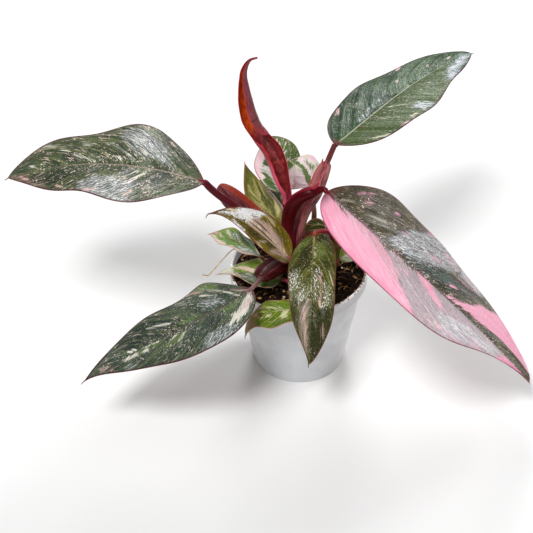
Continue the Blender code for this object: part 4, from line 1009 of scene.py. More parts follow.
def stalk_rings(petiole, leaf=None):
    """A stalk's rings of points, the tint, grain and streakiness of each point, and the track they follow."""
    points = [Vector(point) for point in petiole.points]
    if leaf:
        way = Vector(direction(leaf, np.array(0.0)))
        end = Vector(leaf.base) - Vector((0, 0, BLADE_THICKNESS * 0.9))
        ahead, _, up = midrib(leaf, np.array([STALK_OVERLAP]))
        points += [end - way * petiole.lead, end, Vector(ahead[0] - up[0] * (BLADE_THICKNESS + STALK_BELOW))]
    radius = list(petiole.radius[:len(petiole.points) + 1])
    radius += [radius[-1]] * (len(points) - len(radius))
    if leaf:
        radius[-1] = STALK_END * radius[-2]
    reach = sum((b - a).length for a, b in zip(points, points[1:]))
    path, place, run = smooth_path(points, max(LEAST_RINGS, round(reach / STALK_STEP)))
    along, front, side = frames(path, petiole.faces)
    radius = np.interp(place, np.arange(len(radius)), radius)
    sheathed = np.clip((petiole.sheath - place) / SHEATH_FADE, 0, 1)[:, None]
    angle = ring_angles(STALK_SIDES)
    away = np.minimum(angle, 2 * np.pi - angle)
    open_groove = petiole.groove * np.exp(-(away / SHEATH_GROOVE_WIDTH) ** 2)
    plain_groove = min(petiole.groove, PLAIN_GROOVE) * np.exp(-(away / GROOVE_WIDTH) ** 2)
    lip = LIP_HEIGHT * np.exp(-((away - BORDER_ANGLE) / LIP_WIDTH) ** 2)
    dip = open_groove * sheathed + plain_groove * (1 - sheathed)
    ridges = RIDGE_HEIGHT * np.cos(RIDGES * angle)
    depth = radius[:, None] * (np.cos(angle) - dip + lip * sheathed + ridges * np.cos(angle))
    wing = 1 + (petiole.wing - 1) * sheathed
    breadth = (radius[:, None] * wing) * (np.sin(angle) + ridges * np.sin(angle))
    knots = np.linspace(0, place[-1], len(petiole.tints))
    tint = sampled(place, knots, np.array(petiole.tints))[:, None] * np.ones((1, STALK_SIDES, 1))
    border = (np.exp(-((away - BORDER_ANGLE) / BORDER_WIDTH) ** 2)[None] * sheathed)[..., None]
    tint = tint * (1 - border) + np.array(petiole.edge) * border
    grain = np.stack(np.broadcast_arrays(run[:, None] * MM, angle, 0.0), -1)
    rings = rings_round(path, front, side, depth, breadth)
    track = (path, place, along, front, side, radius)
    return (rings, tint, grain, np.full(depth.shape, petiole.streak)), track


def ligule(petiole, track):
    """The sheath's two free tips: thin pointed flaps that stand out where the sheath ends."""
    path, place, along, front, side, radius = track
    start, end = (np.argmin(np.abs(place - spot)) for spot in (petiole.sheath - LIGULE_START, petiole.sheath))
    share = np.linspace(0, 1, LIGULE_STEPS)
    at, stations = start + (end - start) * share, np.arange(len(path))
    centre, way, ahead, out = (sampled(at, stations, values) for values in (path, along, front, side))
    size, share = np.interp(at, stations, radius)[:, None], share[:, None]
    flaps = []
    for hand in (-1, 1):
        rim = centre + ahead * size * 0.62 + out * hand * size * petiole.wing * (0.72 - 0.25 * share)
        rim = rim + way * petiole.ligule * share + ahead * petiole.ligule * share**2 * 0.5
        depth = (1 - share) ** 0.7 * size * 0.9 + LIGULE_TIP
        foot = rim - ahead * depth + out * hand * depth * 0.15
        thick = out * LIGULE_HALF * (1.2 - share)
        flap = np.stack([rim + thick, rim - thick, foot - thick, foot + thick], axis=1)
        shape = flap.shape[:2]
        flaps.append((flap, np.ones((*shape, 3)) * petiole.edge, flap * MM, np.full(shape, LIGULE_STREAK)))
    return flaps


def build_shoot(name, shoot, material):
    """A stem with its stalks, each with its own colours, sheath and free tips."""
    faces, parts = [], []
    count = 0
    for leaf, petiole in [(None, shoot["stem"])] + list(shoot["petioles"].items()):
        target = None if leaf is None else LEAVES.get(leaf, NEW_LEAF_FOOT)
        stalk, track = stalk_rings(petiole, target)
        for part in [stalk] + (ligule(petiole, track) if petiole.ligule else []):
            rows, sides = part[0].shape[:2]
            faces += tube_faces(rows, sides, count)
            count += rows * sides
            parts.append(part)
    points, tints, grains = (np.vstack([part[k].reshape(-1, 3) for part in parts]) for k in range(3))
    made = add_piece(name + "_stalks", points, faces, material, name)
    outward(made)
    give(made.data, "tint", tints)
    give(made.data, "grain", grains)
    give(made.data, "streak", np.concatenate([part[3].ravel() for part in parts]))


def outward(made):
    """Turns the object's faces outwards."""
    work = bmesh.new()
    work.from_mesh(made.data)
    bmesh.ops.recalc_face_normals(work, faces=work.faces)
    work.to_mesh(made.data)
    work.free()
    made.data.shade_smooth()


def build_new_leaf(material):
    """The rolled young leaf: an open scroll that turns as it rises and closes to a point."""
    path, place, run = smooth_path(NEW_LEAF_PATH, NEW_LEAF_RINGS)
    knots = np.arange(len(NEW_LEAF_PATH))
    radius = np.interp(place, knots, NEW_LEAF_RADIUS)[:, None]
    part = np.clip((place % 1 - 0.2) / 0.6, 0, 1)
    eased = np.floor(place) + part**2 * (3 - 2 * part)
    turn = np.radians(np.interp(eased, knots, NEW_LEAF_TURN))
    arc = np.radians(np.interp(eased, knots, NEW_LEAF_ARC))
    _, front, side = frames(path, NEW_LEAF_FRONT)
    spread = np.linspace(-1, 1, NEW_LEAF_SIDES)
    angle = turn[:, None] + arc[:, None] * spread
    out = side[:, None] * np.sin(angle)[..., None] - front[:, None] * np.cos(angle)[..., None]
    rolled = radius * (1 - 0.10 * np.abs(spread) ** 3)
    wall = NEW_LEAF_WALL / 2 * (1.15 - 0.75 * np.abs(spread) ** 6) * np.clip(radius / 0.0015, 0.3, 1)
    outer = path[:, None] + out * (rolled + wall)[..., None]
    inner = path[:, None] + out * np.maximum(rolled - wall, 0.12 * radius)[..., None]
    rings = np.concatenate([outer, inner[:, ::-1]], axis=1)
    rows, sides = rings.shape[:2]
    points, faces = rings.reshape(-1, 3), tube_faces(rows, sides)
    made = add_piece("new_leaf_roll", points, faces, material, "new_leaf")
    outward(made)
    across = np.concatenate([spread, spread[::-1]])
    fields = dict(
        across=across, inside=np.repeat((0.0, 1.0), NEW_LEAF_SIDES), along=place[:, None] / knots[-1],
        grain=np.stack(np.broadcast_arrays(run[:, None] * MM, across * ACROSS_GRAIN, 0.0), -1))
    for key, values in fields.items():
        shape = (rows, sides, 3) if key == "grain" else (rows, sides)
        give(made.data, key, np.broadcast_to(values, shape).reshape(rows * sides, -1).squeeze())


def toned(colour, by, more=0.0):
    """A colour made darker or lighter."""
    return tuple(by * part + more for part in colour)


def blended(first, second, one, other):
    """Two colours added up in the given shares."""
    return tuple(one * a + other * b for a, b in zip(first, second))


class Nodes:
    """Short calls that lay out one material's nodes."""

    def __init__(self, name):
        self.material = bpy.data.materials.new(name)
        self.material.use_nodes = True
        self.tree = self.material.node_tree
        self.shader = self.tree.nodes["Principled BSDF"]

    def put(self, socket, value):
        """Links an output to the socket, or sets the socket to a number or colour."""
        if isinstance(value, bpy.types.NodeSocket):
            self.tree.links.new(value, socket)
        elif isinstance(value, tuple) and socket.type == "RGBA":
            socket.default_value = (*value, 1)
        else:
            socket.default_value = value

    def make(self, kind, inputs, **settings):
        """A node of that kind with its settings and inputs."""
        node = self.tree.nodes.new("ShaderNode" + kind)
        for key, value in settings.items():
            setattr(node, key, value)
        for key, value in inputs.items():
            self.put(node.inputs[key], value)
        return node

    def math(self, operation, a, b=0.0):
        return self.make("Math", {0: a, 1: b}, operation=operation).outputs[0]

    def plus(self, a, b):
        return self.math("ADD", a, b)

    def minus(self, a, b):
        return self.math("SUBTRACT", a, b)

    def times(self, a, b):
        return self.math("MULTIPLY", a, b)

    def most(self, a, b):
        return self.math("MAXIMUM", a, b)

    def step(self, value, low, high, start=0.0, end=1.0):
        """A smooth step of a value from one level to another."""
        inputs = {"Value": value, "From Min": low, "From Max": high, "To Min": start, "To Max": end}
        return self.make("MapRange", inputs, interpolation_type="SMOOTHSTEP").outputs[0]

    def mix(self, share, a, b, blend="MIX"):
        inputs = {"Factor": share, "A": a, "B": b}
        return self.make("Mix", inputs, data_type="RGBA", blend_type=blend).outputs["Result"]

    def lay(self, colour, tint, value, low, high, start=0.0, end=1.0):
        """A colour with a tint over it, as far as a value steps from one level to another."""
        return self.mix(self.step(value, low, high, start, end), colour, tint)

    def read(self, name, kind="Fac"):
        return self.make("Attribute", {}, attribute_name=name).outputs[kind]

    def spot(self):
        """A place on the piece, in metres."""
        return self.make("TexCoord", {}).outputs["Object"]

    def scaled(self, vector, by, shift=(0.0, 0.0, 0.0)):
        return self.make("VectorMath", {0: vector, 1: by, 2: shift}, operation="MULTIPLY_ADD").outputs[0]

    def noise(self, vector, scale=1.0, detail=3.0, rough=0.55):
        inputs = {"Vector": vector, "Scale": scale, "Detail": detail, "Roughness": rough}
        return self.make("TexNoise", inputs).outputs["Fac"]

    def cells(self, vector):
        return self.make("TexVoronoi", {"Vector": vector, "Scale": 1.0}).outputs["Distance"]

    def bump(self, height, distance, strength):
        node = self.make("Bump", {"Height": height, "Distance": distance, "Strength": strength})
        self.put(self.shader.inputs["Normal"], node.outputs["Normal"])

    def set(self, **values):
        for key, value in values.items():
            self.put(self.shader.inputs[key.replace("_", " ")], value)


class Skin(Nodes):
    """A blade's material, laid out layer over layer."""

    def __init__(self, name, look):
        super().__init__(name + "_skin")
        self.look = look
        self.flow, self.plane = self.read("flow", "Vector"), self.read("plane", "Vector")
        self.edge, self.along = self.read("edge"), self.read("along")
        self.rib = self.math("ABSOLUTE", self.read("rib"))
        self.streaks = self.veined_noise(0.14, 1.0, detail=4.0, rough=0.6)
        self.fine = self.veined_noise(0.30, 3.2)
        self.cloud = self.noise(self.plane, scale=0.075, detail=2.0)
        # where the painted sheen lies
        self.sheen_zone = self.step(self.read("painted_sheen"), -3.0, 3.0)
        self.jag = self.plus(self.times(self.minus(self.streaks, 0.5), 8.0),
                             self.times(self.minus(self.fine, 0.5), 4.5))

    def veined_noise(self, along_vein, across_vein, shift=(0.0, 0.0, 0.0), detail=3.0, rough=0.55):
        """Noise drawn out along the side veins."""
        flow = self.scaled(self.flow, (along_vein, across_vein, 1.0), shift)
        return self.noise(flow, detail=detail, rough=rough)

    def patch(self, kind, soft, jagged=1.0):
        """Where patches of a kind lie, with edges that run out along the veins."""
        return self.step(self.plus(self.read(kind), self.times(self.jag, jagged)), -soft, soft)

    def greens(self):
        """The two greens in clouds and streaks, with lighter and darker fine streaks."""
        look = self.look
        tone = self.plus(self.times(self.cloud, 0.68), self.times(self.streaks, 0.40))
        colour = self.lay(look.green, look.shade, tone, 0.40, 0.66)
        broad = self.veined_noise(0.07, 0.42, (2.7, 8.1, 0.3), rough=0.6)
        colour = self.lay(colour, look.light, broad, 0.50, 0.70, 0.0, 0.75)
        colour = self.lay(colour, toned(look.green, 2.2, 0.012), self.fine, 0.56, 0.74, 0.0, 0.42)
        return self.lay(colour, toned(look.shade, 0.5), self.fine, 0.46, 0.32, 0.0, 0.42)

    def mossy(self, colour, soft, jagged):
        moss = self.lay(toned(self.look.moss_tint, 0.6), self.look.moss_tint, self.fine, 0.42, 0.62)
        return self.mix(self.patch("moss", soft, jagged), colour, moss)

    def hazed(self, colour):
        """The haze, a veil in streaks, and the dark patches."""
        look = self.look
        veiled = self.step(self.streaks, 0.34, 0.60, 0.30 + 0.65 * look.haze_fill, 0.95)
        haze = self.times(self.patch("haze", 1.2, 1.5 - look.haze_fill), veiled)
        colour = self.mix(haze, colour, look.haze_tint)
        return self.mix(self.times(self.patch("dark", 1.0), 0.8), colour, toned(look.shade, 0.8))

    def with_painted_sheen(self, colour):
        """The painted sheen in streaks or blobs, a highlight painted into the colour; painted glints in small
        bright dots; and dark pits painted as shade between them.
        """
        look, sheen_zone = self.look, self.sheen_zone
        lines = self.veined_noise(0.30, 1.25, (1.0, 6.0, 0.2), detail=4.0, rough=0.68)
        blobs = self.noise(self.scaled(self.plane, (0.75, 1.15, 1.0)), rough=0.66)
        glitter = self.plus(self.times(lines, look.streaky), self.times(blobs, 1 - look.streaky))
        painted_sheen = self.step(self.plus(glitter, self.times(sheen_zone, look.painted_sheen_fill)), 0.575, 0.65, 0.0, 0.90)
        painted_sheen = self.times(painted_sheen, self.step(sheen_zone, 0.05, 0.35))
        # a broad painted sheen over its whole area, then the painted sheen's streaks
        colour = self.lay(colour, toned(look.painted_sheen_tint, 0.45), sheen_zone, 0.40, 1.0, 0.0, 0.32)
        colour = self.mix(painted_sheen, colour, look.painted_sheen_tint)
        # painted glints: small bright dots that stand for specular glints on the waxy bumps
        if look.streaky > 0.5:
            glint_noise = self.veined_noise(0.45, 1.7, (3.0, 5.0, 0.0), rough=0.6)
        else:
            plane = self.scaled(self.plane, (0.9, 1.3, 1.0), (3.0, 5.0, 0.0))
            glint_noise = self.noise(plane, detail=2.0, rough=0.6)
        painted_glint = self.step(self.plus(glint_noise, self.times(sheen_zone, 0.10)), 0.65, 0.685, 0.0, 0.95)
        painted_glint = self.times(painted_glint, self.step(sheen_zone, -0.2, 0.6, 0.30 * look.glint_strength, 1.0))
        # the colour of the painted glints
        bright = tuple(min(0.92, part) for part in toned(look.painted_sheen_tint, 1.25, 0.22))
        colour = self.mix(painted_glint, colour, bright)
        # dark pits: painted shade between the glints
        return self.lay(colour, toned(look.shade, 0.7), glint_noise, 0.40, 0.34, 0.0, 0.55)

    def flecked(self, colour):
        """Round dots and short fine streaks, in crowds."""
        look = self.look
        crowd = self.step(self.noise(self.plane, scale=0.10, detail=2.0), 0.42, 0.66)
        dots = self.cells(self.scaled(self.plane, (0.50, 0.66, 1.0)))
        size = self.times(crowd, min(0.17, 0.13 * look.flecks))
        flecks = self.step(self.minus(dots, size), 0.085, 0.045)
        for along_vein, across_vein, level, gain in ((0.42, 1.3, 0.715, 0.06), (1.0, 2.2, 0.700, 0.02)):
            seen = self.veined_noise(along_vein, across_vein, (5.1, 3.3, 0.7), detail=2.0, rough=0.5)
            least = self.minus(level + gain * (0.7 - look.flecks), self.times(crowd, 0.045))
            flecks = self.most(flecks, self.step(self.minus(seen, least), 0.0, 0.02))
        flecks = self.times(flecks, self.step(self.edge, 0.4, 1.2))
        # fewer flecks under the painted sheen
        flecks = self.times(flecks, self.step(self.sheen_zone, 0.3, 0.9, 1.0, 0.4))
        rosy = blended(look.pink_tint, look.fleck_tint, 0.3, 0.7)
        return self.mix(flecks, colour, self.lay(look.fleck_tint, rosy, self.cloud, 0.42, 0.56))

    def variegated(self, colour):
        """The pale, faded and pink sectors; the pink is deeper towards the margin and freckled."""
        look, pink = self.look, self.look.pink_tint
        greened = blended(look.pale_tint, look.green, 0.72, 0.5)
        pale = self.lay(look.pale_tint, greened, self.fine, 0.35, 0.7)
        colour = self.mix(self.patch("pale", 0.22, look.jagged), colour, pale)
        light = tuple(min(0.95, part * by) for part, by in zip(pink, (1.02, 1.75, 1.45)))
        rosy = self.lay(pink, light, self.streaks, 0.38, 0.72, 0.0, 0.7)
        deep = self.step(self.times(self.cloud, self.step(self.edge, 7.0, 0.5, 0.8, 1.25)), 0.46, 0.66)
        deep = self.most(self.times(deep, 0.5), self.step(self.edge, 3.2, 0.6, 0.0, 0.6))
        rosy = self.mix(deep, rosy, tuple(part * by for part, by in zip(pink, (1.0, 0.62, 0.78))))
        freckle = self.step(self.veined_noise(0.6, 2.2, detail=2.0), 0.70, 0.76, 0.0, 0.55)
        rosy = self.mix(freckle, rosy, toned(pink, 0.62))
        faded = self.lay(blended(pink, FADED, 0.55, 0.45), toned(pink, 0.8), self.fine, 0.4, 0.65)
        colour = self.mix(self.patch("rosy", 0.4, look.jagged), colour, faded)
        return self.mix(self.patch("pink", 0.22, look.jagged), colour, rosy)

    def lined(self, colour):
        """The scar, the side veins, the midrib, the thin margin, and the tints of base and tip."""
        look = self.look
        colour = self.lay(colour, SCAR, self.read("scar"), -0.1, 0.1)
        colour = self.lay(colour, look.shade, self.read("vein_line"), -0.15, 0.10, 0.0, 0.85)
        line = self.step(self.math("PINGPONG", self.read("vein"), 0.5), 0.035, 0.0, 0.0, 0.30)
        colour = self.mix(self.times(line, self.step(self.rib, 0.6, 3.0)), colour, toned(look.shade, 0.55))
        rib_width = self.step(self.along, 0.0, 1.0, 0.50, 0.16)
        ribbed = self.step(self.minus(self.rib, rib_width), 0.12, -0.12)
        ribbed = self.times(ribbed, self.step(self.along, look.rib_reach, look.rib_reach - 0.2, 0.12, 0.92))
        colour = self.mix(ribbed, colour, look.rib)
        rim = self.step(self.edge, look.margin_width * 1.25, look.margin_width * 0.75)
        colour = self.mix(self.times(rim, self.step(self.along, 0.0, 0.05, 0.3, 0.92)), colour, look.margin)
        colour = self.lay(colour, look.base_tint, self.along, 0.045, 0.0, 0.0, 0.85)
        return self.lay(colour, look.margin, self.along, 0.985, 1.01, 0.0, 0.95)

    def below(self, colour):
        """The underside, which the pink shows through."""
        look = self.look
        under = self.mix(self.times(self.patch("pink", 0.5, 0.4), 0.55), look.underside, look.pink_tint)
        under = self.lay(under, look.green, self.streaks, 0.4, 0.7, 0.0, 0.4)
        under = self.lay(under, look.margin, self.rib, 0.9, 0.5, 0.0, 0.7)
        return self.lay(colour, under, self.read("below"), 0.4, 0.6)

    def surface(self):
        """Roughness of the waxy skin, and a fine bump of grit, creases and the smallest veins."""
        look = self.look
        grit = self.noise(self.plane, scale=0.55, detail=2.0, rough=0.5)
        creases = self.veined_noise(0.12, 0.7, (9.0, 2.0, 0.5), detail=2.0, rough=0.5)
        side_veins = self.math("PINGPONG", self.times(self.read("vein"), 4.0), 0.5)
        height = self.plus(self.times(grit, 0.15), self.times(creases, 0.14))
        self.bump(self.minus(height, self.step(side_veins, 0.20, 0.0, 0.0, 0.035)), 0.001, 1.0)
        wax = self.noise(self.plane, scale=0.8, rough=0.7)
        return self.step(wax, 0.36, 0.64, look.roughness - 0.13, look.roughness + 0.10)


def leaf_material(name, look):
    """A waxy blade: greens streaked along the side veins, patches, a painted sheen with painted glints,
    flecks, the midrib and a thin margin.
    """
    skin = Skin(name, look)
    colour = skin.greens()
    if not look.moss_over:
        colour = skin.mossy(colour, 0.8, 1.2)
    # the haze and dark patches, then the painted sheen and painted glints
    colour = skin.with_painted_sheen(skin.hazed(colour))
    if look.flecks > 0:
        colour = skin.flecked(colour)
    colour = skin.variegated(colour)
    if look.moss_over:
        colour = skin.mossy(colour, 0.22, 0.9)
    colour = skin.below(skin.lined(colour))
    skin.set(Base_Color=colour, Roughness=skin.surface(), Specular_IOR_Level=look.gloss)
    return skin.material


def stalk_material():
    """Smooth fleshy stalks, streaked along their length, with fine lighter dots."""
    n = Nodes("stalk_skin")
    grain, tint = n.read("grain", "Vector"), n.read("tint", "Vector")
    streaks = n.noise(n.scaled(grain, (0.10, 2.3, 1.0)), detail=4.0, rough=0.65)
    dots = n.noise(n.scaled(grain, (0.9, 3.0, 1.0)), detail=2.0)
    darker = n.mix(1.0, tint, (0.34, 0.26, 0.30), "MULTIPLY")
    colour = n.mix(n.times(n.step(streaks, 0.44, 0.60), n.read("streak")), tint, darker)
    brighter = n.mix(1.0, tint, (1.9, 1.6, 1.8), "MULTIPLY")
    colour = n.lay(colour, brighter, dots, 0.62, 0.74, 0.0, 0.5)
    n.bump(n.plus(streaks, n.times(dots, 0.4)), 0.00016, 0.6)
    n.set(Base_Color=colour, Roughness=n.step(streaks, 0.3, 0.7, 0.20, 0.32), Specular_IOR_Level=0.10)
    return n.material


def new_leaf_material():
    """The young leaf: glossy red, darker inside and mottled, with painted highlights in its trough, a painted
    shade line where it folds, and bright thin margins.
    """
    n = Nodes("new_leaf_skin")
    grain = n.read("grain", "Vector")
    along, across, inside = n.read("along"), n.read("across"), n.read("inside")
    blotch = n.noise(n.scaled(grain, (0.32, 0.7, 1.0)))
    streaks = n.noise(n.scaled(grain, (0.16, 2.4, 1.0)), detail=4.0)
    streaky = n.step(streaks, 0.35, 0.7)
    skin = n.mix(streaky, (0.420, 0.040, 0.050), (0.260, 0.020, 0.032))
    face = n.mix(streaky, (0.150, 0.016, 0.024), (0.250, 0.060, 0.075))
    skin = n.lay(skin, face, along, 0.42, 0.56)
    trough = n.lay((0.340, 0.038, 0.036), (0.150, 0.012, 0.015), blotch, 0.40, 0.64)
    # painted highlights: light dots in the trough
    painted_highlights = n.noise(n.scaled(grain, (0.35, 1.0, 1.0)), detail=2.0)
    trough = n.lay(trough, (0.560, 0.120, 0.095), painted_highlights, 0.60, 0.72, 0.0, 0.7)
    trough = n.lay(trough, (0.480, 0.034, 0.052), across, -0.72, -0.90, 0.0, 0.9)
    glowing = n.lay((0.600, 0.090, 0.008), (0.400, 0.034, 0.010), blotch, 0.42, 0.62)
    trough = n.lay(trough, glowing, along, 0.46, 0.52)
    # a painted shade line across the young leaf, where it folds
    painted_crease_shade = n.step(n.math("ABSOLUTE", n.minus(along, NEW_LEAF_CREASE)), 0.006, 0.002, 0.0, 0.8)
    skin = n.mix(painted_crease_shade, skin, (0.080, 0.008, 0.012))
    colour = n.lay(skin, trough, inside, 0.4, 0.6)
    colour = n.lay(colour, (0.520, 0.050, 0.090), along, 0.12, 0.0, 0.0, 0.75)
    low = n.times(n.step(along, 0.34, 0.20), n.step(inside, 0.5, 0.4))
    colour = n.mix(low, colour, (0.76, 0.110, 0.190))
    edge = n.step(n.math("ABSOLUTE", across), 0.94, 0.985)
    colour = n.mix(n.times(edge, 0.9), colour, (0.520, 0.012, 0.040))
    n.bump(n.plus(streaks, n.times(blotch, 0.6)), 0.0002, 0.6)
    n.set(Base_Color=colour, Roughness=n.step(blotch, 0.3, 0.7, 0.16, 0.30), Specular_IOR_Level=0.24)
    return n.material


def pot_material():
    """Pale moulded plastic: a painted highlight along the top of the lip, faint turned lines, a little dust
    and splashes of soil near the lip.
    """
    n = Nodes("pot_plastic")
    spot = n.spot()
    cloud = n.noise(spot, scale=90.0)
    colour = n.lay((0.66, 0.675, 0.69), (0.58, 0.60, 0.62), cloud, 0.35, 0.7)
    height = n.make("SeparateXYZ", {0: spot}).outputs["Z"]
    # a painted highlight: the top of the lip made near-white
    colour = n.lay(colour, (0.95, 0.96, 0.97), height, POT_HEIGHT - 0.0011, POT_HEIGHT - 0.0004)
    dirt, dust = n.noise(spot, scale=620.0), n.noise(spot, scale=150.0, detail=2.0)
    soiled = n.step(n.plus(dirt, n.times(dust, 0.5)), 0.86, 0.94)
    soiled = n.times(soiled, n.step(height, POT_HEIGHT - 0.0045, POT_HEIGHT - 0.0003))
    colour = n.mix(n.times(soiled, 0.85), colour, (0.13, 0.075, 0.035))
    n.bump(n.noise(n.scaled(spot, (1.0, 1.0, 6.0)), scale=420.0, detail=2.0), 0.00008, 0.5)
    n.set(Base_Color=colour, Roughness=n.step(cloud, 0.3, 0.7, 0.34, 0.46), Specular_IOR_Level=0.5)
    return n.material


def ground_material(name, dark, light, scale):
    """Soil, bark, fibre or grain: two browns broken up by noise, lighter or darker from piece to piece."""
    n = Nodes(name)
    spot = n.spot()
    colour = n.lay(dark, light, n.noise(spot, scale=scale, detail=4.0, rough=0.65), 0.36, 0.66)
    shade = n.mix(n.read("shade"), (0.45, 0.45, 0.45), (1.9, 1.8, 1.7))
    n.bump(n.noise(spot, scale=scale * 2.6, detail=4.0), 0.0003, 0.8)
    n.set(Base_Color=n.mix(1.0, colour, shade, "MULTIPLY"), Roughness=0.9, Specular_IOR_Level=0.12)
    return n.material


def pot_radius(height):
    """The pot body's outer radius at a height, under the skirt."""
    top = RIM_RADIUS - SKIRT_STEP
    return FOOT_RADIUS + (top - FOOT_RADIUS) * height / (POT_HEIGHT - SKIRT_HEIGHT)


def arc_points(x, y, radius, start, end, count):
    """Points on an arc of a profile, its angles in degrees."""
    return [(x + radius * math.cos(math.radians(a)), y + radius * math.sin(math.radians(a)))
            for a in np.linspace(start, end, count)]


def pot_profile():
    """The pot's section as radii and heights, from the middle of its foot round to that of its floor."""
    foot = POT_HEIGHT - SKIRT_HEIGHT
    top, bore, edge = pot_radius(foot), RIM_RADIUS - LIP, POT_EDGE
    waist = RIM_RADIUS - SKIRT_HOLLOW
    return [
        (0, RECESS), (FOOT_RADIUS - FOOT_RING - RECESS, RECESS), (FOOT_RADIUS - FOOT_RING, 0),
        *arc_points(FOOT_RADIUS - edge, edge, edge, -90, -8, 5),
        *((pot_radius(h), h) for h in np.linspace(0.002, foot - 2 * edge, 18)),
        *arc_points(top + edge * 0.9, foot - edge * 0.9, edge * 0.9, 180, 90, 4),
        *arc_points(RIM_RADIUS - edge, foot + edge, edge, -90, 0, 5),
        (waist, foot + SKIRT_BEAD), (waist, POT_HEIGHT - SKIRT_BEAD),
        *arc_points(RIM_RADIUS - LIP_EDGE, POT_HEIGHT - LIP_EDGE, LIP_EDGE, 0, 90, 6),
        *arc_points(bore + edge, POT_HEIGHT - edge, edge, 90, 180, 6),
        (bore - 0.0001, POT_HEIGHT - 0.003), (bore, foot + WALL + edge),
        *arc_points(bore - edge, foot + WALL + edge, edge, 0, -90, 4),
        (top - WALL, foot + WALL - edge),
        *((pot_radius(h) - WALL, h) for h in np.linspace(foot - 0.002, FLOOR + 0.001, 10)),
        (pot_radius(FLOOR) - WALL - 0.001, FLOOR), (0, FLOOR),
    ]


def meshed(work, name):
    """The worked mesh as a mesh of its own."""
    mesh = bpy.data.meshes.new(name)
    work.to_mesh(mesh)
    work.free()
    return mesh


def build_pot(material):
    """The pot: a recessed foot with drain holes, a tapered wall, and a stepped skirt with a rolled lip."""
    work = bmesh.new()
    verts = [work.verts.new((radius, 0, height)) for radius, height in pot_profile()]
    edges = [work.edges.new(pair) for pair in zip(verts, verts[1:])]
    bmesh.ops.spin(work, geom=verts + edges, cent=(0, 0, 0), axis=(0, 0, 1), angle=2 * math.pi,
                   steps=POT_STEPS)
    bmesh.ops.remove_doubles(work, verts=work.verts, dist=MERGE)
    bmesh.ops.recalc_face_normals(work, faces=work.faces)
    mesh = meshed(work, "pot_shell")
    mesh.materials.append(material)
    pot = link("pot_shell", mesh)
    work = bmesh.new()
    for angle in ring_angles(DRAIN_HOLES):
        place = Matrix.Translation((DRAIN_CIRCLE * math.cos(angle), DRAIN_CIRCLE * math.sin(angle), 0))
        bmesh.ops.create_cone(work, cap_ends=True, segments=40, radius1=DRAIN_RADIUS, radius2=DRAIN_RADIUS,
                              depth=4 * FLOOR, matrix=place)
    drill = link("drill", meshed(work, "drill"))
    bore = pot.modifiers.new("drain", "BOOLEAN")
    bore.operation = "DIFFERENCE"
    bore.object = drill
    bpy.context.view_layer.update()
    pot.data = bpy.data.meshes.new_from_object(pot.evaluated_get(bpy.context.evaluated_depsgraph_get()))
    pot.modifiers.clear()
    bpy.data.objects.remove(drill, do_unlink=True)
    pot.data.shade_smooth()
    pot.data.set_sharp_from_angle(angle=math.radians(POT_SHARP))
    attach(pot, "root")
    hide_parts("pot")


def soil_height(x, y):
    """The soil's uneven top."""
    wide = np.sin(310 * x + 1.3) * np.cos(270 * y - 0.4)
    fine = 0.6 * np.sin(640 * x - 380 * y + 2.1)
    return SOIL_HEIGHT + SOIL_BUMP * (wide + fine)


def build_soil(material):
    """The potting mix: its crumbly top, raised at the lip, closed down to the pot's floor."""
    chance = np.random.default_rng(SEED)
    edge = RIM_RADIUS - LIP - SOIL_GAP
    ledge = POT_HEIGHT - SKIRT_HEIGHT + WALL + 0.0001
    turns = ring_angles(SOIL_TURNS)

    def ring(radius, height):
        return np.stack([radius * np.cos(turns), radius * np.sin(turns), 0 * turns + height], -1)

    rings = []
    for step in np.arange(1, SOIL_RINGS + 1) / SOIL_RINGS:
        x, y = edge * step * np.cos(turns), edge * step * np.sin(turns)
        crumb = 0.0007 * np.sin(1900 * x + 3 * np.sin(900 * y)) * np.cos(1700 * y + 2 * np.sin(1100 * x))
        height = soil_height(x, y) + crumb + chance.normal(0, SOIL_ROUGH, len(x))
        rise = SOIL_RISE * step**8 + (height - SOIL_HEIGHT) * (1 - step**8)
        rings.append(ring(edge * step, SOIL_HEIGHT + rise))
    rings += [ring(radius, ledge) for radius in (edge, pot_radius(SOIL_HEIGHT) - WALL - SOIL_GAP)]
    for height in np.linspace(SOIL_HEIGHT - 0.002, FLOOR + SOIL_GAP, 4):
        rings.append(ring(pot_radius(height) - WALL - SOIL_GAP, height))
    count = len(rings) * SOIL_TURNS
    faces = grid_faces(len(rings), SOIL_TURNS, flip=True, wrap=True)
    for k in range(SOIL_TURNS):
        after, last = (k + 1) % SOIL_TURNS, count - SOIL_TURNS
        faces += [(count, k, after), (count + 1, last + after, last + k)]
    points = np.vstack(rings + [(0, 0, float(soil_height(0.0, 0.0))), (0, 0, FLOOR + SOIL_GAP)])
    made = add_piece("soil_bed", points, faces, material, "soil")
    outward(made)
    give(made.data, "shade", chance.uniform(0.1, 0.6, len(points)))


def on_soil(chance):
    """A random place on the soil."""
    reach = (RIM_RADIUS - LIP - 0.0010) * math.sqrt(chance.uniform(0, 1))
    turn = chance.uniform(0, 2 * math.pi)
    x, y = reach * math.cos(turn), reach * math.sin(turn)
    return x, y, float(soil_height(x, y)) + chance.uniform(-0.0002, 0.0009)


def on_rim(chance):
    """A random place on the pot's rim, in one of a few clusters."""
    reach = RIM_RADIUS - LIP * chance.uniform(0.3, 1.1)
    turn = math.radians(chance.choice(RIM_CLUSTERS) + chance.normal(0, 3.5))
    return reach * math.cos(turn), reach * math.sin(turn), POT_HEIGHT + chance.uniform(-0.0001, 0.0002)


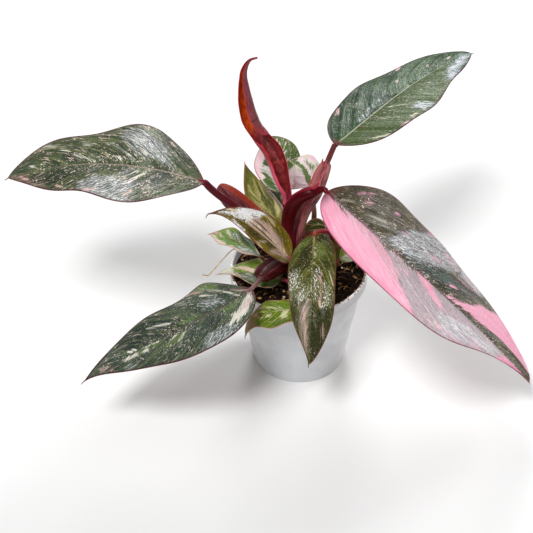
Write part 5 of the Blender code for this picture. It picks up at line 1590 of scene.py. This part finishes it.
def scatter(name, material, count, make, place):
    """Many small closed crumbs as one piece; each has its own shade."""
    chance = np.random.default_rng(SEED + count)
    points, faces, shades = [], [], []
    total = 0
    for _ in range(count):
        verts, crumb_faces = make(chance)
        points.append(verts + np.array(place(chance)))
        faces += [tuple(total + i for i in face) for face in crumb_faces]
        shades.append(np.full(len(verts), chance.uniform(0, 1)))
        total += len(verts)
    made = add_piece(name, np.vstack(points), faces, material)
    made.data.set_sharp_from_angle(angle=math.radians(CRUMB_SHARP))
    give(made.data, "shade", np.concatenate(shades))


def chip_maker(sizes, shape):
    """Makes angular crumbs of a size range, stretched as the shape says and turned at random."""
    work = bmesh.new()
    bmesh.ops.create_icosphere(work, subdivisions=1, radius=1.0)
    base = np.array([vert.co[:] for vert in work.verts])
    faces = [tuple(vert.index for vert in face.verts) for face in work.faces]
    work.free()

    def make(chance):
        length = chance.uniform(*sizes)
        uneven = 1 + chance.uniform(-0.28, 0.28, len(base))[:, None]
        stretched = base * uneven * length * np.array(shape) * chance.uniform(0.75, 1.25, 3)
        turn, lean, spin = chance.uniform(0, 2 * math.pi), chance.normal(0, 0.35), chance.uniform(-0.6, 0.6)
        matrix = Matrix.Rotation(turn, 3, "Z") @ Matrix.Rotation(lean, 3, "Y") @ Matrix.Rotation(spin, 3, "X")
        return stretched @ np.array(matrix).T, faces

    return make


def fibre_maker(chance):
    """A thin curled root or coir fibre."""
    length, bend = chance.uniform(0.003, 0.009), chance.uniform(-2.2, 2.2)
    turn, rise = chance.uniform(0, 2 * math.pi), chance.uniform(-0.1, 0.5)
    share = np.linspace(0, 1, FIBRE_STEPS)
    heading = turn + bend * share
    path = np.cumsum(np.stack([np.cos(heading), np.sin(heading), rise * np.cos(3 * share)], -1), axis=0)
    path *= length / FIBRE_STEPS
    _, front, side = frames(path, (0.1, 0.2, 1))
    angle, size = ring_angles(FIBRE_SIDES), FIBRE_RADIUS * (1.15 - share)[:, None]
    rings = rings_round(path, front, side, size * np.cos(angle), size * np.sin(angle))
    return rings.reshape(-1, 3), tube_faces(FIBRE_STEPS, FIBRE_SIDES)


def build_strand(material):
    """The loose pale fibre that hangs over the pot's left side."""
    path, _, _ = smooth_path(STRAND_PATH, STRAND_RINGS)
    _, front, side = frames(path, (0.3, -0.6, 0.7))
    angle = ring_angles(STRAND_SIDES)
    points = rings_round(path, front, side, STRAND_RADIUS * np.cos(angle), STRAND_RADIUS * np.sin(angle))
    points = points.reshape(-1, 3)
    made = add_piece("strand", points, tube_faces(STRAND_RINGS, STRAND_SIDES), material)
    outward(made)
    give(made.data, "shade", np.full(len(points), STRAND_SHADE))


def build_floor():
    """A plain pale floor."""
    work = bmesh.new()
    bmesh.ops.create_grid(work, x_segments=1, y_segments=1, size=FLOOR_REACH)
    mesh = meshed(work, "floor")
    n = Nodes("floor_paint")
    paint = n.mix(n.noise(n.spot(), scale=3.0), (0.90, 0.90, 0.90), (0.93, 0.93, 0.925))
    n.set(Base_Color=paint, Roughness=0.7, Specular_IOR_Level=0.1)
    mesh.materials.append(n.material)
    floor = link("floor", mesh)


def add_light(name, azimuth, elevation, distance, size, power):
    """A soft square light, aimed at the plant."""
    around, up = math.radians(azimuth), math.radians(elevation)
    way = Vector((math.sin(around) * math.cos(up), -math.cos(around) * math.cos(up), math.sin(up)))
    data = bpy.data.lights.new(name, "AREA")
    data.shape = "SQUARE"
    data.size = size
    data.energy = power
    lamp = link(name, data)
    lamp.location = Vector(LIGHT_TARGET) + way * distance
    lamp.rotation_euler = way.to_track_quat("Z", "Y").to_euler()


def build_camera():
    """The camera at the photograph's angle, placed so that the pot's rim falls where it does there."""
    lift, tilt = math.radians(ELEVATION), math.radians(CAMERA_ROLL)
    back = Vector((0, -math.cos(lift), math.sin(lift)))
    right = Vector((1, 0, 0))
    up = back.cross(right)
    right, up = math.cos(tilt) * right + math.sin(tilt) * up, math.cos(tilt) * up - math.sin(tilt) * right
    aside, above = ((pixel - IMAGE_SIDE / 2) / FOCAL_PIXELS * DISTANCE for pixel in RIM_PIXEL)
    place = Vector((0, 0, POT_HEIGHT)) - aside * right + above * up + DISTANCE * back
    data = bpy.data.cameras.new("camera")
    data.sensor_width = SENSOR
    data.lens = FOCAL_PIXELS * SENSOR / IMAGE_SIDE
    data.clip_start = 0.01
    camera = link("camera", data)
    camera.matrix_world = Matrix.Translation(place) @ Matrix((right, up, back)).transposed().to_4x4()
    bpy.context.scene.camera = camera


def light_scene():
    """Soft boxes behind, in front and at the sides, in a pale surround."""
    for name, row in LIGHTS.items():
        add_light(name, *row)
    world = bpy.data.worlds.new("surround")
    world.use_nodes = True
    world.node_tree.nodes["Background"].inputs["Color"].default_value = (1, 1, 1, 1)
    world.node_tree.nodes["Background"].inputs["Strength"].default_value = SURROUND
    scene = bpy.context.scene
    scene.world = world
    scene.view_settings.view_transform = "Standard"


def main():
    """Builds the plant, its pot, the floor, the lights and the camera."""
    build_camera()
    light_scene()
    build_floor()
    build_pot(pot_material())
    grounds = {name: ground_material(name, *row) for name, row in GROUNDS.items()}
    build_soil(grounds["soil_mix"])
    for name, (ground, count, sizes, shape) in CRUMBS.items():
        place = on_rim if name == "rim_crumbs" else on_soil
        scatter(name, grounds[ground], count, chip_maker(sizes, shape), place)
    scatter("soil_fibres", grounds["fibre"], FIBRES, fibre_maker, on_soil)
    build_strand(grounds["fibre"])
    stalks = stalk_material()
    for name, shoot in SHOOTS.items():
        build_shoot(name, shoot, stalks)
    for seed, (name, leaf) in enumerate(LEAVES.items()):
        build_blade(name, leaf, LOOKS[name], seed)
    build_new_leaf(new_leaf_material())


main()
